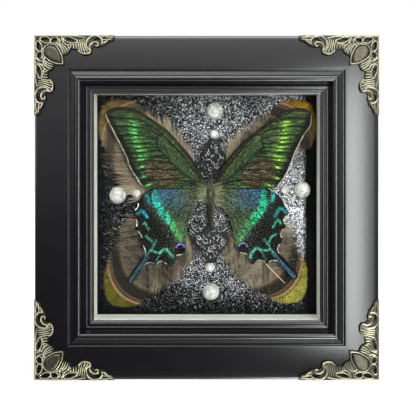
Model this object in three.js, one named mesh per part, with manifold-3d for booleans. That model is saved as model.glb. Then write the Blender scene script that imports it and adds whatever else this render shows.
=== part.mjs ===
// Framed butterfly specimen in a square shadow box: four mitred lacquered rails with cast corner
// ornaments, a pane, a cream spacer box, glitter card, four feathers, half pearls, an openwork
// ornament and a spread swallowtail. Millimetres, +Z up, the front faces -Y, and the origin is
// the middle of the underside.
import * as THREE from "three";
import { mergeVertices } from "three/addons/utils/BufferGeometryUtils.js";
import Module from "manifold-3d";

const wasm = await Module();
wasm.setup();

// Driving dimensions of the frame
const SIDE = 200; // outer width and height
const RAIL_WIDTH = 33; // outer edge to sight edge
const RAIL_DEPTH = 36; // front plane to wall
const GAP = 0.3; // clearance between pieces that touch
const MITRE_GAP = 0.1;
const BAND_WIDTH = 19.5; // broad outer band, crowned towards the outer edge
const BAND_DROP = 1;
const REBATE_FROM_EDGE = 28.5; // inner wall of the rebate, from the outer edge

// Depths behind the front plane
const LIP_BACK = 8.4;
const GLASS_THICKNESS = 2;
const SPACER_BACK = 25.4;
const SPACER_HALF = 67.9; // middle to inner face
const SPACER_THICKNESS = 2.3;
const SPACER_SHIFT = { x: -0.45, z: 0.65 }; // the spacer box sits a little up and left in its rebate
const CARD_THICKNESS = 0.5;
const BOARD_THICKNESS = 3;

// Sizes and heights of what lies in the box
const ORNAMENT_PLATE = 1;
const ORNAMENT_HEIGHT = 2.7; // front plane to the top of the stone
const FEATHER_THICKNESS = 0.5;
const WING_THICKNESS = 0.5;
const VEIN_HEIGHT = 0.3;
const OPENWORK_THICKNESS = 1.2;
const LARGE_PEARL = 10.3;
const SMALL_PEARL = 5.7;

// Places worked out from the above
const HALF = SIDE / 2;
const REBATE_HALF = HALF - REBATE_FROM_EDGE;
const FRONT_Y = -(RAIL_DEPTH - ORNAMENT_HEIGHT) / 2; // the origin is mid-depth
const GLASS_FRONT = LIP_BACK + GAP;
const SPACER_FRONT = GLASS_FRONT + GLASS_THICKNESS + GAP;
const CARD_FRONT = SPACER_BACK + GAP;
const BOARD_FRONT = CARD_FRONT + CARD_THICKNESS + GAP;
const BOARD_BACK = BOARD_FRONT + BOARD_THICKNESS;
const BODY_AT = { x: 2.1, z: 6 }; // middle of the insect's body, from the middle of the frame

const MATERIALS = {
  lacquer: { color: 0x1b171a, roughness: 0.32 },
  ornament: { color: 0x8f8a6c, roughness: 0.4, metalness: 0.85 },
  pane: { color: 0xffffff, roughness: 0.02, transparent: true, opacity: 0.15 },
  spacer: { color: 0xd8d6ca, roughness: 0.35 },
  glitter: { color: 0x2a2a30, roughness: 0.4, metalness: 0.5 },
  board: { color: 0x7a5c3c, roughness: 0.85 },
  steel: { color: 0xa9abad, roughness: 0.35, metalness: 1 },
  feather: { color: 0x6f6250, roughness: 0.9 },
  pearl: { color: 0xeceae2, roughness: 0.2 },
  openwork: { color: 0x0b0b0d, roughness: 0.25, metalness: 0.6 },
  forewing: { color: 0x33482f, roughness: 0.6 },
  hindwing: { color: 0x2b4a44, roughness: 0.6 },
  body: { color: 0x3a352a, roughness: 0.85 },
};

// Closed geometry to a solid that can be cut and joined
function toSolid(geometry) {
  const bare = geometry.index ? geometry.toNonIndexed() : geometry.clone();
  bare.deleteAttribute("normal");
  bare.deleteAttribute("uv");
  const merged = mergeVertices(bare, 1e-4);
  return new wasm.Manifold(
    new wasm.Mesh({
      numProp: 3,
      vertProperties: merged.attributes.position.array,
      triVerts: new Uint32Array(merged.index.array),
    }),
  );
}

function toGeometry(solid) {
  const { numProp, vertProperties, triVerts, numVert } = solid.getMesh();
  const position = new Float32Array(numVert * 3);
  for (let i = 0; i < numVert; i++) {
    position.set(
      vertProperties.subarray(i * numProp, i * numProp + 3),
      i * 3,
    );
  }
  const geometry = new THREE.BufferGeometry();
  geometry.setAttribute("position", new THREE.BufferAttribute(position, 3));
  geometry.setIndex(new THREE.BufferAttribute(triVerts, 1));
  return geometry;
}

function joined(solids) {
  return solids.reduce((sum, next) => sum.add(next));
}

// Moves every vertex of a geometry to where place puts it
function reshaped(geometry, place) {
  const position = geometry.getAttribute("position");
  const point = new THREE.Vector3();
  for (let i = 0; i < position.count; i++) {
    point.fromBufferAttribute(position, i);
    place(point);
    position.setXYZ(i, point.x, point.y, point.z);
  }
  return geometry;
}

// Flat outline of [x, z] points, standing in the XZ plane from depth front to depth back
function slab(outline, front, back, holes = []) {
  const shape = new THREE.Shape(outline.map(([x, z]) => new THREE.Vector2(x, z)));
  shape.holes = holes.map(
    (hole) => new THREE.Path(hole.map(([x, z]) => new THREE.Vector2(x, z))),
  );
  const geometry = new THREE.ExtrudeGeometry(shape, {
    depth: back - front,
    bevelEnabled: false,
  });
  return geometry.rotateX(Math.PI / 2).translate(0, FRONT_Y + back, 0);
}

function block(x0, x1, front, back, z0, z1) {
  const size = [x1 - x0, back - front, z1 - z0];
  const geometry = new THREE.BoxGeometry(...size);
  return geometry.translate(
    (x0 + x1) / 2,
    FRONT_Y + (front + back) / 2,
    (z0 + z1) / 2,
  );
}

// Points of a smooth open curve through the given [x, z] points
function smooth(points, count) {
  const through = points.map(([x, z]) => new THREE.Vector3(x, z, 0));
  const curve = new THREE.CatmullRomCurve3(through, false, "centripetal");
  return curve.getPoints(count).map((p) => [p.x, p.y]);
}

// A strip of the given width along a line of points, tapering to its far end
function strip(points, width, endWidth = width) {
  const left = [];
  const right = [];
  points.forEach(([x, z], i) => {
    const before = points[Math.max(i - 1, 0)];
    const after = points[Math.min(i + 1, points.length - 1)];
    const along = new THREE.Vector2(after[0] - before[0], after[1] - before[1]);
    along.normalize();
    const share = i / (points.length - 1);
    const half = THREE.MathUtils.lerp(width, endWidth, share) / 2;
    left.push([x - along.y * half, z + along.x * half]);
    right.push([x + along.y * half, z - along.x * half]);
  });
  return [...right, ...left.reverse()];
}

const frame = new THREE.Group();
frame.position.z = HALF;

function addMesh(name, geometry, look, parent = frame) {
  const material = new THREE.MeshStandardMaterial(MATERIALS[look]);
  const mesh = new THREE.Mesh(geometry, material);
  mesh.name = name;
  parent.add(mesh);
  return mesh;
}

// How far the crowned band lies behind the front plane, at a distance from the outer edge
function bandDepth(fromEdge) {
  const share = Math.min(Math.max(fromEdge / BAND_WIDTH, 0), 1);
  return BAND_DROP * (1 - share) ** 2;
}

// A half-round bead as [from edge, depth] points
function bead(middle, depth, radius, steps) {
  return Array.from({ length: steps + 1 }, (_, i) => {
    const angle = Math.PI * (1 - i / steps);
    return [
      middle + radius * Math.cos(angle),
      depth - radius * Math.sin(angle),
    ];
  });
}

// Moulding section as [from outer edge, depth behind the front plane]
function railProfile() {
  const band = [1.2, 5, 9, 13, 17, BAND_WIDTH].map((u) => [u, bandDepth(u)]);
  return [
    [0, RAIL_DEPTH],
    [0, 2.6],
    [0.35, 1.7],
    ...band,
    [19.9, 0.5],
    [20.1, 1.7],
    [23.6, 2.6],
    ...bead(24.8, 2.8, 0.95, 5),
    [26.1, 4.6],
    [27.3, 5.9],
    [28.9, 6.4],
    ...bead(30.0, 6.4, 0.6, 3),
    ...bead(31.5, 6.7, 0.6, 3),
    [RAIL_WIDTH - 0.3, 6.9],
    [RAIL_WIDTH, 7.2],
    [RAIL_WIDTH, LIP_BACK],
    [REBATE_FROM_EDGE, LIP_BACK],
    [REBATE_FROM_EDGE, RAIL_DEPTH],
  ];
}

// Bottom rail, mitred at both ends
function railGeometry() {
  const outline = railProfile().map(([u, depth]) => new THREE.Vector2(u, -depth));
  const shape = new THREE.Shape(outline);
  const geometry = new THREE.ExtrudeGeometry(shape, {
    depth: 1,
    bevelEnabled: false,
  });
  return reshaped(geometry, (p) => {
    const halfLength = HALF - p.x - MITRE_GAP;
    p.set((2 * p.z - 1) * halfLength, FRONT_Y - p.y, p.x - HALF);
  });
}

function addRails() {
  ["bottom", "left", "top", "right"].forEach((side, i) => {
    const rail = addMesh(`rail_${side}`, railGeometry(), "lacquer");
    rail.rotation.y = (i * Math.PI) / 2;
  });
}

function addBox() {
  const pane = REBATE_HALF - GAP;
  const cardHalf = pane - GAP;
  addMesh(
    "glass_pane",
    block(-pane, pane, GLASS_FRONT, GLASS_FRONT + GLASS_THICKNESS, -pane, pane),
    "pane",
  );
  addMesh(
    "glitter_card",
    block(-cardHalf, cardHalf, CARD_FRONT, CARD_FRONT + CARD_THICKNESS, -cardHalf, cardHalf),
    "glitter",
  );
  addMesh(
    "backing_board",
    block(-pane, pane, BOARD_FRONT, BOARD_BACK, -pane, pane),
    "board",
  );
  addSpacers();
}

// Four cream strips between the pane and the card
function addSpacers() {
  const inner = SPACER_HALF;
  const outer = inner + SPACER_THICKNESS;
  const long = outer;
  const short = inner - GAP;
  const spacers = [
    ["spacer_left", -outer, -inner, -short, short],
    ["spacer_right", inner, outer, -short, short],
    ["spacer_top", -long, long, inner, outer],
    ["spacer_bottom", -long, long, -outer, -inner],
  ];
  for (const [name, x0, x1, z0, z1] of spacers) {
    const geometry = block(x0, x1, SPACER_FRONT, SPACER_BACK, z0, z1);
    addMesh(name, geometry.translate(SPACER_SHIFT.x, 0, SPACER_SHIFT.z), "spacer");
  }
}

// Corner ornament, drawn as [along one edge, along the other], both from the outer corner.
// One arm is drawn, and the other is its mirror image in the diagonal.
const ARM_EDGE = [
  [46.5, 0], [46.4, 2], [45, 3], [43, 3.3], [41.3, 4.4], [40.4, 5.8], [38.6, 5.9], [37.5, 7],
  [35.5, 6.4], [34.3, 7.1], [33.4, 8.7], [33.6, 10.5], [31.4, 11.5], [29.4, 11.4], [27.6, 10.3],
  [26.4, 9.2], [25, 8.4], [23.2, 8.3], [21.2, 7.7], [20.5, 9.9], [18.9, 11.2], [17.4, 11.6],
  [17.9, 13.9],
];
const ARM_HOLES = [
  [[33.6, 5.2], [34.2, 3], [35.8, 1.6], [38, 1.3], [39.9, 2.4], [39.7, 4], [37.2, 3.2], [35.5, 3.8]],
  [[18.3, 2.6], [19.5, 1.7], [23.5, 3.3], [21.2, 4.2]],
  [[4.8, 2.2], [6.3, 1.6], [8.7, 3.7], [6.4, 4]],
  [[10, 3.8], [11.2, 2], [13.5, 2.9], [12.2, 4.4]],
];
const TEARDROP = { middle: 11.4, radius: 4.1, point: 4, rim: 1.2 };
const ARM_RIDGES = [
  [[41.5, 1.2], [37, 0.9], [33.4, 2.6], [31.8, 6.5], [32.2, 10.2]],
  [[28, 1.2], [29.4, 5.2], [29.8, 10]],
  [[25, 1.2], [25.9, 4.5], [26.6, 8.2]],
  [[21.5, 6], [17.5, 5.4], [13.5, 5.6], [10, 6.4]],
];
const swap = ([u, v]) => [v, u];

// Distance from the middle of the stone to its edge, towards a direction
function teardropReach(direction, extra) {
  const along = Math.cos(direction - Math.PI / 4);
  return TEARDROP.radius + extra + TEARDROP.point * Math.max(along, 0) ** 5;
}

function teardropOutline(extra, steps) {
  return Array.from({ length: steps }, (_, i) => {
    const direction = Math.PI / 4 + (i / steps) * 2 * Math.PI;
    const reach = teardropReach(direction, extra);
    return [
      TEARDROP.middle + reach * Math.cos(direction),
      TEARDROP.middle + reach * Math.sin(direction),
    ];
  });
}

// A low dome on the teardrop outline, its flat side at depth back
function teardropDome(height, back, steps) {
  const turn = 2 * Math.PI;
  const profile = [
    [0, 0], [1, 0], [0.92, 0.4], [0.6, 0.82], [0, 1],
  ].map(([r, h]) => new THREE.Vector2(r, h));
  const dome = new THREE.LatheGeometry(profile, steps).rotateX(Math.PI);
  return reshaped(dome, (p) => {
    const radius = Math.hypot(p.x, p.z);
    const direction = (Math.atan2(p.z, p.x) + turn) % turn;
    const reach = teardropReach(direction + Math.PI / 4, 0) * radius;
    const turned = direction + Math.PI / 4;
    p.set(
      TEARDROP.middle + reach * Math.cos(turned),
      FRONT_Y + back + p.y * height,
      TEARDROP.middle + reach * Math.sin(turned),
    );
  });
}

function ornamentSolid() {
  const back = -GAP;
  const plateFront = back - ORNAMENT_PLATE;
  const rimFront = plateFront - 0.7;
  const tip = [18.1, 18.1];
  const outline = [[0, 0], ...ARM_EDGE, tip, ...ARM_EDGE.map(swap).reverse()];
  const holes = ARM_HOLES.flatMap((hole) => [hole, hole.map(swap)]);
  const cuts = holes.map((hole) => toSolid(slab(hole, plateFront - 1, back + 1)));
  const plate = toSolid(slab(outline, plateFront, back)).subtract(joined(cuts));
  const rim = slab(teardropOutline(TEARDROP.rim, 14), rimFront, back - 0.2);
  const stoneBack = rimFront + 0.1;
  const height = stoneBack + ORNAMENT_HEIGHT + bandDepth(TEARDROP.middle);
  const dome = teardropDome(height, stoneBack, 12);
  const ridges = ARM_RIDGES.flatMap((line) => [line, line.map(swap)]).map((line) =>
    toSolid(slab(strip(line, 1.1, 0.7), plateFront - 0.5, back - 0.3)),
  );
  return joined([plate, toSolid(rim), toSolid(dome), ...ridges]);
}

// The casting follows the crowned band of both rails, folded on the mitre
function addOrnaments() {
  const halves = ornamentSolid().splitByPlane([Math.SQRT1_2, 0, -Math.SQRT1_2], 0);
  const folded = halves.map((half) => toSolid(reshaped(toGeometry(half), (p) => {
    p.y += bandDepth(Math.min(p.x, p.z));
  })));
  const bent = toGeometry(joined(folded)).translate(-HALF, 0, -HALF);
  ["bottom_left", "top_left", "top_right", "bottom_right"].forEach((corner, i) => {
    const ornament = addMesh(`corner_${corner}`, bent.clone(), "ornament");
    ornament.rotation.y = (i * Math.PI) / 2;
  });
}

// Feather outline: [distance from the middle of the frame, half width] on each side of the
// shaft, which runs along the diagonal. The side towards the wall beside the wings is wider.
const NARROW_VANE = [[14, 1], [21, 12], [32, 16.8], [43, 17.7], [54, 17.7], [62, 15.5], [70, 13.5],
  [78, 13.2], [84, 10.4], [88.5, 6]];
const WIDE_VANE = [[14, 1], [24, 17], [32, 25], [40, 28.5], [48, 28.5], [57, 25.5], [66, 21.5],
  [73, 17.5], [80, 13.6], [85, 10], [89, 5.5]];
const FEATHER_LENGTH = 92;
const LOCKS_A_SIDE = 24;
const FEATHERS = [
  { name: "feather_top_left", x: -1, z: 1, length: 1 },
  { name: "feather_top_right", x: 1, z: 1, length: 0.985 },
  { name: "feather_bottom_left", x: -1, z: -1, length: 0.96 },
  { name: "feather_bottom_right", x: 1, z: -1, length: 0.93 },
];

function widthAt(vane, along) {
  for (let i = 1; i < vane.length; i++) {
    const [a0, w0] = vane[i - 1];
    const [a1, w1] = vane[i];
    if (along <= a1) return THREE.MathUtils.lerp(w0, w1, (along - a0) / (a1 - a0));
  }
  return 0;
}

// A point kept inside the spacer box
function insideBox([x, z]) {
  const reach = SPACER_HALF - GAP;
  return [
    THREE.MathUtils.clamp(x, SPACER_SHIFT.x - reach, SPACER_SHIFT.x + reach),
    THREE.MathUtils.clamp(z, SPACER_SHIFT.z - reach, SPACER_SHIFT.z + reach),
  ];
}

// One side's edge: each lock is a tip and the notch after it
function lockEdge(vane, side) {
  const first = vane[0][0];
  const last = vane[vane.length - 1][0];
  const pitch = (last - first) / LOCKS_A_SIDE;
  const points = [];
  for (let i = 0; i < LOCKS_A_SIDE; i++) {
    const at = first + (i + 0.5) * pitch;
    const width = widthAt(vane, at);
    const uneven = 1 + 0.05 * Math.sin(i * 2.4 + side);
    points.push([at + 1.6, side * width * uneven]);
    points.push([at + pitch * 0.45, side * width * 0.9]);
  }
  return points;
}

function addFeathers() {
  const back = CARD_FRONT - GAP;
  for (const feather of FEATHERS) {
    const edge = [
      [9, 0],
      ...lockEdge(NARROW_VANE, 1),
      [FEATHER_LENGTH, 0.4],
      ...lockEdge(WIDE_VANE, -1).reverse(),
    ];
    const outline = edge.map(([along, across]) => {
      const a = along * feather.length;
      return insideBox([
        (feather.x * (a - across)) / Math.SQRT2,
        (feather.z * (a + across)) / Math.SQRT2,
      ]);
    });
    addMesh(feather.name, slab(outline, back - FEATHER_THICKNESS, back), "feather");
  }
}

// Half pearls at [x, z] from the middle of the frame. Those at the sides sit on a vane.
const PEARLS = [
  { name: "pearl_large_top", x: 4.3, z: 58.5, across: LARGE_PEARL },
  { name: "pearl_small_top", x: 3.9, z: 44, across: SMALL_PEARL },
  { name: "pearl_large_left", x: -55.5, z: 6.6, across: LARGE_PEARL, onVane: true },
  { name: "pearl_small_left", x: -43.4, z: 7.4, across: SMALL_PEARL, onVane: true },
  { name: "pearl_large_right", x: 58.3, z: 9.8, across: LARGE_PEARL, onVane: true },
  { name: "pearl_small_right", x: 47.6, z: 9.9, across: SMALL_PEARL, onVane: true },
  { name: "pearl_large_bottom", x: 2, z: -53.2, across: LARGE_PEARL },
  { name: "pearl_small_bottom", x: 1.5, z: -38.1, across: SMALL_PEARL },
];

function addPearls() {
  for (const { name, x, z, across, onVane } of PEARLS) {
    const radius = across / 2;
    const height = radius * 0.86;
    const rings = 4;
    const profile = [new THREE.Vector2(0, 0)];
    for (let i = 0; i < rings; i++) {
      const angle = (i / rings) * (Math.PI / 2);
      profile.push(new THREE.Vector2(radius * Math.cos(angle), height * Math.sin(angle)));
    }
    profile.push(new THREE.Vector2(0, height));
    const dome = new THREE.LatheGeometry(profile, 12).rotateX(Math.PI);
    const back = onVane ? CARD_FRONT - FEATHER_THICKNESS - 2 * GAP : CARD_FRONT - GAP;
    addMesh(name, dome.translate(x, FRONT_Y + back, z), "pearl");
  }
}

// Black openwork ornament under the body, from the middle of the body
const TOP_LOBE = [[2.8, 6], [4.7, 13], [7.2, 18], [9.3, 22.3], [9, 25.7], [6.9, 29.7], [4.1, 33.1],
  [1.3, 35], [-1.8, 32.8], [-4.6, 29.1], [-6.7, 24.8], [-8.7, 20.4], [-7.1, 17], [-4.9, 13],
  [-2.7, 6]];
const BOTTOM_LOBE = [[-2.4, -20], [-4, -22.3], [-6.7, -23.5], [-9.8, -25.6], [-10, -28.5],
  [-7.4, -31.3], [-5.2, -34.4], [-2.7, -37.8], [0.4, -40.5], [3.5, -37.4], [5.6, -34.4],
  [8.7, -31.9], [11.1, -28.8], [10.6, -25.7], [7.2, -23.8], [4.1, -22.6], [2.4, -20]];
const SIDE_HOOP = [[7.5, -24.5], [12.8, -19.6], [16.8, -9], [16.8, 5], [12.8, 16], [7, 21]];
const LOBE_HOLES = [
  [[0.2, 12], [1.6, 15], [0.2, 18], [-1.4, 15]],
  [[3.4, 19], [6, 22.4], [3.6, 24.4], [2.4, 21.4]],
  [[-3.2, 18], [-2.2, 20.6], [-3.6, 23.4], [-5.8, 20.6]],
  [[0.6, 25.8], [2, 28.6], [0.8, 31.4], [-0.8, 28.6]],
  [[4, -26], [7.6, -27.6], [5.6, -29.8], [3, -28.4]],
  [[-3.4, -28.2], [-5.6, -29.6], [-7.2, -27.4], [-4, -25.8]],
  [[0.3, -36.8], [-1.3, -34.2], [0.2, -31.4], [1.8, -34.2]],
];
const CRYSTALS = [[1, 24], [0.3, 9.6], [-4.8, 26], [5.6, 27], [-1.4, -23.6], [2, -30.6], [-2.2, -30.8],
  [8.6, -26.8], [-8.2, -27.6]];

function addOpenwork() {
  const back = CARD_FRONT - GAP - FEATHER_THICKNESS - GAP;
  const front = back - OPENWORK_THICKNESS;
  const plates = [
    toSolid(slab(TOP_LOBE, front, back)),
    toSolid(slab(BOTTOM_LOBE, front, back)),
    toSolid(block(-2.4, 2.4, front, back, -21, 7)),
  ];
  for (const side of [1, -1]) {
    const line = smooth(SIDE_HOOP.map(([x, z]) => [x * side, z]), 8);
    const loop = strip(line, 3);
    plates.push(toSolid(slab(loop, front + 0.2, back)));
  }
  const holes = LOBE_HOLES.map((hole) => toSolid(slab(hole, front - 1, back + 1)));
  const stones = CRYSTALS.map(([x, z]) => {
    const stone = new THREE.CylinderGeometry(0.4, 1.1, 1, 6).rotateX(Math.PI);
    return toSolid(stone.translate(x, FRONT_Y + front - 0.3, z));
  });
  const solid = joined([joined(plates).subtract(joined(holes)), ...stones]);
  addMesh("black_openwork", toGeometry(solid), "openwork", specimen);
}

// Left forewing outline, from the middle of the body: leading edge, tip, outer edge, rear edge
const FOREWING = [[-3.7, 8.6], [-6.4, 15.9], [-9.4, 21.4], [-12.5, 25.7], [-16.8, 30.6],
  [-21.1, 35.2], [-25.3, 39.8], [-29.6, 43.5], [-33.9, 46.5], [-38.2, 49.6], [-42.5, 52],
  [-47.4, 54.2], [-52.9, 55.2], [-58.4, 54.8], [-62.1, 53.2], [-64, 50.8], [-63.9, 48.3],
  [-62.4, 45.6], [-60.5, 42.2], [-58.7, 38.6], [-56.4, 34.6], [-54.2, 30.6], [-52.3, 26.3],
  [-50.9, 22.6], [-49.2, 18.4], [-47.4, 14.7], [-45.2, 11.3], [-43.1, 8.3], [-40.6, 6.1],
  [-37, 5.1], [-30.8, 5], [-21.7, 5], [-12.5, 5.1], [-3.9, 4.9]];
// Left hindwing: hidden leading edge, scalloped outer edge with its tail, rear edge
const HINDWING = [[-4.2, 4], [-12, 8.6], [-24, 9.6], [-33, 8.2], [-39.4, 3.4], [-42.2, 0.3],
  [-43.7, -2.4], [-44.6, -4.9], [-44.9, -8], [-47.1, -9.8], [-46.5, -12.2], [-44.9, -14.1],
  [-44.9, -17.1], [-45.8, -19], [-44.6, -21.1], [-42.2, -22.6], [-42.2, -24.8], [-42.8, -26.6],
  [-42.5, -29.1], [-41, -30.9], [-40.4, -33.7], [-41.3, -36.4], [-44.1, -40.4], [-47.4, -44.7],
  [-50.4, -49], [-51, -51.4], [-49.8, -53], [-47.7, -52.6], [-45.9, -50.2], [-43.1, -46.2],
  [-40.4, -42.5], [-38.8, -41], [-35.7, -40.7], [-34.2, -41.9], [-32.7, -41.6], [-30.8, -39.7],
  [-28.4, -39.6], [-26.2, -41.4], [-24.1, -42.5], [-22.3, -41.2], [-21, -38.5], [-20.6, -36.2],
  [-19.3, -35.4], [-16.8, -35.1], [-15.3, -32.4], [-14.6, -28.2], [-14.2, -21.4], [-13.1, -14.7],
  [-11.4, -9.8], [-9.2, -5], [-6.7, -1.3], [-4.6, 0.9]];
// Raised veins: the cell, then the veins from it to the outer edge
const FOREWING_VEINS = [
  [[-5, 7.4], [-15.5, 24], [-30.2, 38.3], [-46.8, 48], [-61, 47.6]],
  [[-6, 6.4], [-18.5, 16], [-30.8, 30.5], [-32.4, 36]],
  [[-32, 37], [-41.9, 43.3], [-59.6, 42.8]],
  [[-32.4, 36], [-49.2, 38.2], [-57.4, 37.9]],
  [[-32, 32.4], [-43.1, 32.7], [-54.3, 32.1]],
  [[-30.8, 30.3], [-40, 27.4], [-51.6, 26.9]],
  [[-27.2, 25.1], [-38.2, 21.4], [-49.2, 20.5]],
  [[-21.1, 18.4], [-35.7, 15.9], [-46.4, 14.7]],
];
const HINDWING_VEINS = [
  [[-6, 2], [-23, -2.5], [-34, -3], [-43.4, -6.5]],
  [[-23, -2.5], [-33, -9.5], [-44.6, -15.6]],
  [[-23, -2.5], [-27.5, -8.5], [-31.5, -14.5], [-41.6, -23.6]],
  [[-27.5, -8.5], [-28.5, -17], [-33.5, -27], [-40, -37], [-48.6, -50.6]],
  [[-6.4, 0.4], [-18, -8], [-24.5, -13.5], [-28, -24], [-34.2, -40.6]],
  [[-18, -8], [-21.5, -22], [-24, -41]],
];

// The right wings are near mirror images: the forewing a little smaller, the hindwing's tail
// swung a little outwards
function rightForewing([x, z]) {
  return [-x * 0.978, z * 0.985];
}

function rightHindwing([x, z]) {
  const direction = Math.atan2(z, -x);
  const swing = THREE.MathUtils.smoothstep(-direction, 0.2, 0.7) * 0.05;
  const reach = Math.hypot(x, z);
  return [reach * Math.cos(direction + swing), reach * Math.sin(direction + swing)];
}

// A thin wing with raised veins, tilted forward from its root
function wingGeometry(outline, veins, place, depth, rise) {
  const membrane = slab(outline.map(place), depth, depth + WING_THICKNESS);
  const ridges = veins.map((vein) => {
    const loop = strip(vein.map(place), 0.8, 0.5);
    return toSolid(slab(loop, depth - VEIN_HEIGHT, depth + WING_THICKNESS / 2));
  });
  const geometry = toGeometry(joined([toSolid(membrane), ...ridges]));
  return reshaped(geometry, (p) => {
    p.y -= Math.abs(p.x) * rise;
  });
}

const WING_DEPTH = 19.2;
const FORE_RISE = 0.045;
const HIND_RISE = 0.025;

function addWings() {
  const keep = (point) => point;
  const hindDepth = WING_DEPTH + WING_THICKNESS + VEIN_HEIGHT + GAP;
  const wings = [
    ["forewing_left", FOREWING, FOREWING_VEINS, keep, WING_DEPTH, FORE_RISE, "forewing"],
    ["forewing_right", FOREWING, FOREWING_VEINS, rightForewing, WING_DEPTH, FORE_RISE, "forewing"],
    ["hindwing_left", HINDWING, HINDWING_VEINS, keep, hindDepth, HIND_RISE, "hindwing"],
    ["hindwing_right", HINDWING, HINDWING_VEINS, rightHindwing, hindDepth, HIND_RISE, "hindwing"],
  ];
  for (const [name, outline, veins, place, depth, rise, look] of wings) {
    addMesh(name, wingGeometry(outline, veins, place, depth, rise), look, specimen);
  }
}

// An egg-shaped solid between two heights on the body's axis
function egg(top, bottom, halfWidth, halfDepth, depth, segments, rings) {
  const ball = new THREE.SphereGeometry(1, segments, rings);
  return ball
    .scale(halfWidth, halfDepth, (top - bottom) / 2)
    .translate(0, FRONT_Y + depth, (top + bottom) / 2);
}

// A rod of round section along a line of [x, depth, z] points
function rod(points, radius, sides) {
  const through = points.map(([x, depth, z]) => new THREE.Vector3(x, FRONT_Y + depth, z));
  const path = new THREE.CatmullRomCurve3(through);
  const section = new THREE.Shape();
  for (let i = 0; i < sides; i++) {
    const angle = (2 * Math.PI * i) / sides;
    const corner = [radius * Math.cos(angle), radius * Math.sin(angle)];
    if (i) section.lineTo(...corner);
    else section.moveTo(...corner);
  }
  return new THREE.ExtrudeGeometry(section, {
    steps: points.length + 1,
    extrudePath: path,
    bevelEnabled: false,
  });
}

const BODY_DEPTH = 19.9;

// Head, thorax and abdomen with the antennae and the folded legs that grow from them
function addBody() {
  const parts = [
    egg(8.4, -3.4, 2.6, 3, BODY_DEPTH, 10, 7),
    egg(-1.2, -21, 2.5, 2.7, BODY_DEPTH + 0.4, 10, 9),
    egg(11.6, 7.4, 2, 2, BODY_DEPTH, 10, 6),
  ];
  for (const side of [1, -1]) {
    const feeler = [
      [0.9 * side, BODY_DEPTH - 1.2, 10.6],
      [2.6 * side, BODY_DEPTH - 2.2, 19],
      [4.8 * side, BODY_DEPTH - 2.4, 28],
    ];
    parts.push(rod(feeler, 0.3, 5));
    const club = [[4.6 * side, BODY_DEPTH - 2.4, 27], [5.4 * side, BODY_DEPTH - 2.4, 29.6]];
    parts.push(rod(club, 0.5, 5));
    for (const [root, foot] of [[6.6, 12.4], [2.2, -3.6], [0, -8]]) {
      const leg = [
        [0.8 * side, BODY_DEPTH + 1.6, root],
        [3 * side, BODY_DEPTH + 2.3, (root + foot) / 2],
        [1.4 * side, BODY_DEPTH + 2.5, foot],
      ];
      parts.push(rod(leg, 0.3, 4));
    }
  }
  const body = joined(parts.map(toSolid));
  addMesh("butterfly_body", toGeometry(body), "body", specimen);
}

// Steel points pressed into the rebate behind the board, two on each side
function addRetainingPoints() {
  const outline = [[-3, 0], [3, 0], [3, 6], [0, 9.5], [-3, 6]];
  const front = BOARD_BACK + GAP;
  const spread = 35;
  ["bottom", "left", "top", "right"].forEach((side, i) => {
    [-1, 1].forEach((hand, j) => {
      const loop = outline.map(([x, z]) => [x + hand * spread, z - REBATE_HALF + GAP]);
      const point = addMesh(`retaining_point_${side}_${j + 1}`, slab(loop, front, front + 0.5), "steel");
      point.rotation.y = (i * Math.PI) / 2;
    });
  });
}

const HANGER = { length: 46, height: 8, thickness: 0.8, z: 48, teeth: 9, nailAt: 20 };

// Saw-tooth hanger with a nail through each end, inside the recess behind the board
function addHanger() {
  const front = BOARD_BACK + GAP;
  const back = front + HANGER.thickness;
  const half = HANGER.length / 2;
  const top = HANGER.z + HANGER.height;
  const toothed = 30;
  const pitch = toothed / HANGER.teeth;
  const outline = [[half, HANGER.z], [half, top], [-half, top], [-half, HANGER.z]];
  for (let i = 0; i < HANGER.teeth; i++) {
    const left = -toothed / 2 + i * pitch;
    outline.push([left, HANGER.z], [left + pitch / 2, HANGER.z + 1.6]);
  }
  outline.push([toothed / 2, HANGER.z]);
  const holeRadius = 1.1;
  const nailZ = HANGER.z + HANGER.height / 2;
  const bores = [-1, 1].map((side) => {
    const bore = new THREE.CylinderGeometry(holeRadius, holeRadius, 4, 8);
    return toSolid(bore.translate(side * HANGER.nailAt, FRONT_Y + front, nailZ));
  });
  const bar = toSolid(slab(outline, front, back)).subtract(joined(bores));
  addMesh("hanger_bar", toGeometry(bar), "steel");
  const shank = 0.7;
  const head = 1.9;
  const profile = [[0, 0], [shank, 0], [shank, 1.1 + GAP], [head, 1.1 + GAP], [1.5, 1.9], [0, 2.1]];
  [-1, 1].forEach((side, i) => {
    const turned = profile.map(([r, h]) => new THREE.Vector2(r, h));
    const nail = new THREE.LatheGeometry(turned, 8);
    nail.translate(side * HANGER.nailAt, FRONT_Y + front, nailZ);
    addMesh(`hanger_nail_${i + 1}`, nail, "steel");
  });
}

const specimen = new THREE.Group();
specimen.position.set(BODY_AT.x, 0, BODY_AT.z);
frame.add(specimen);

addRails();
addBox();
addOrnaments();
addFeathers();
addPearls();
addOpenwork();
addWings();
addBody();
addRetainingPoints();
addHanger();

const part = new THREE.Group();
part.add(frame);

export default part;
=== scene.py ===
import math

import bmesh
import bpy
import numpy as np
from mathutils import Matrix, Vector, noise


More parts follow.
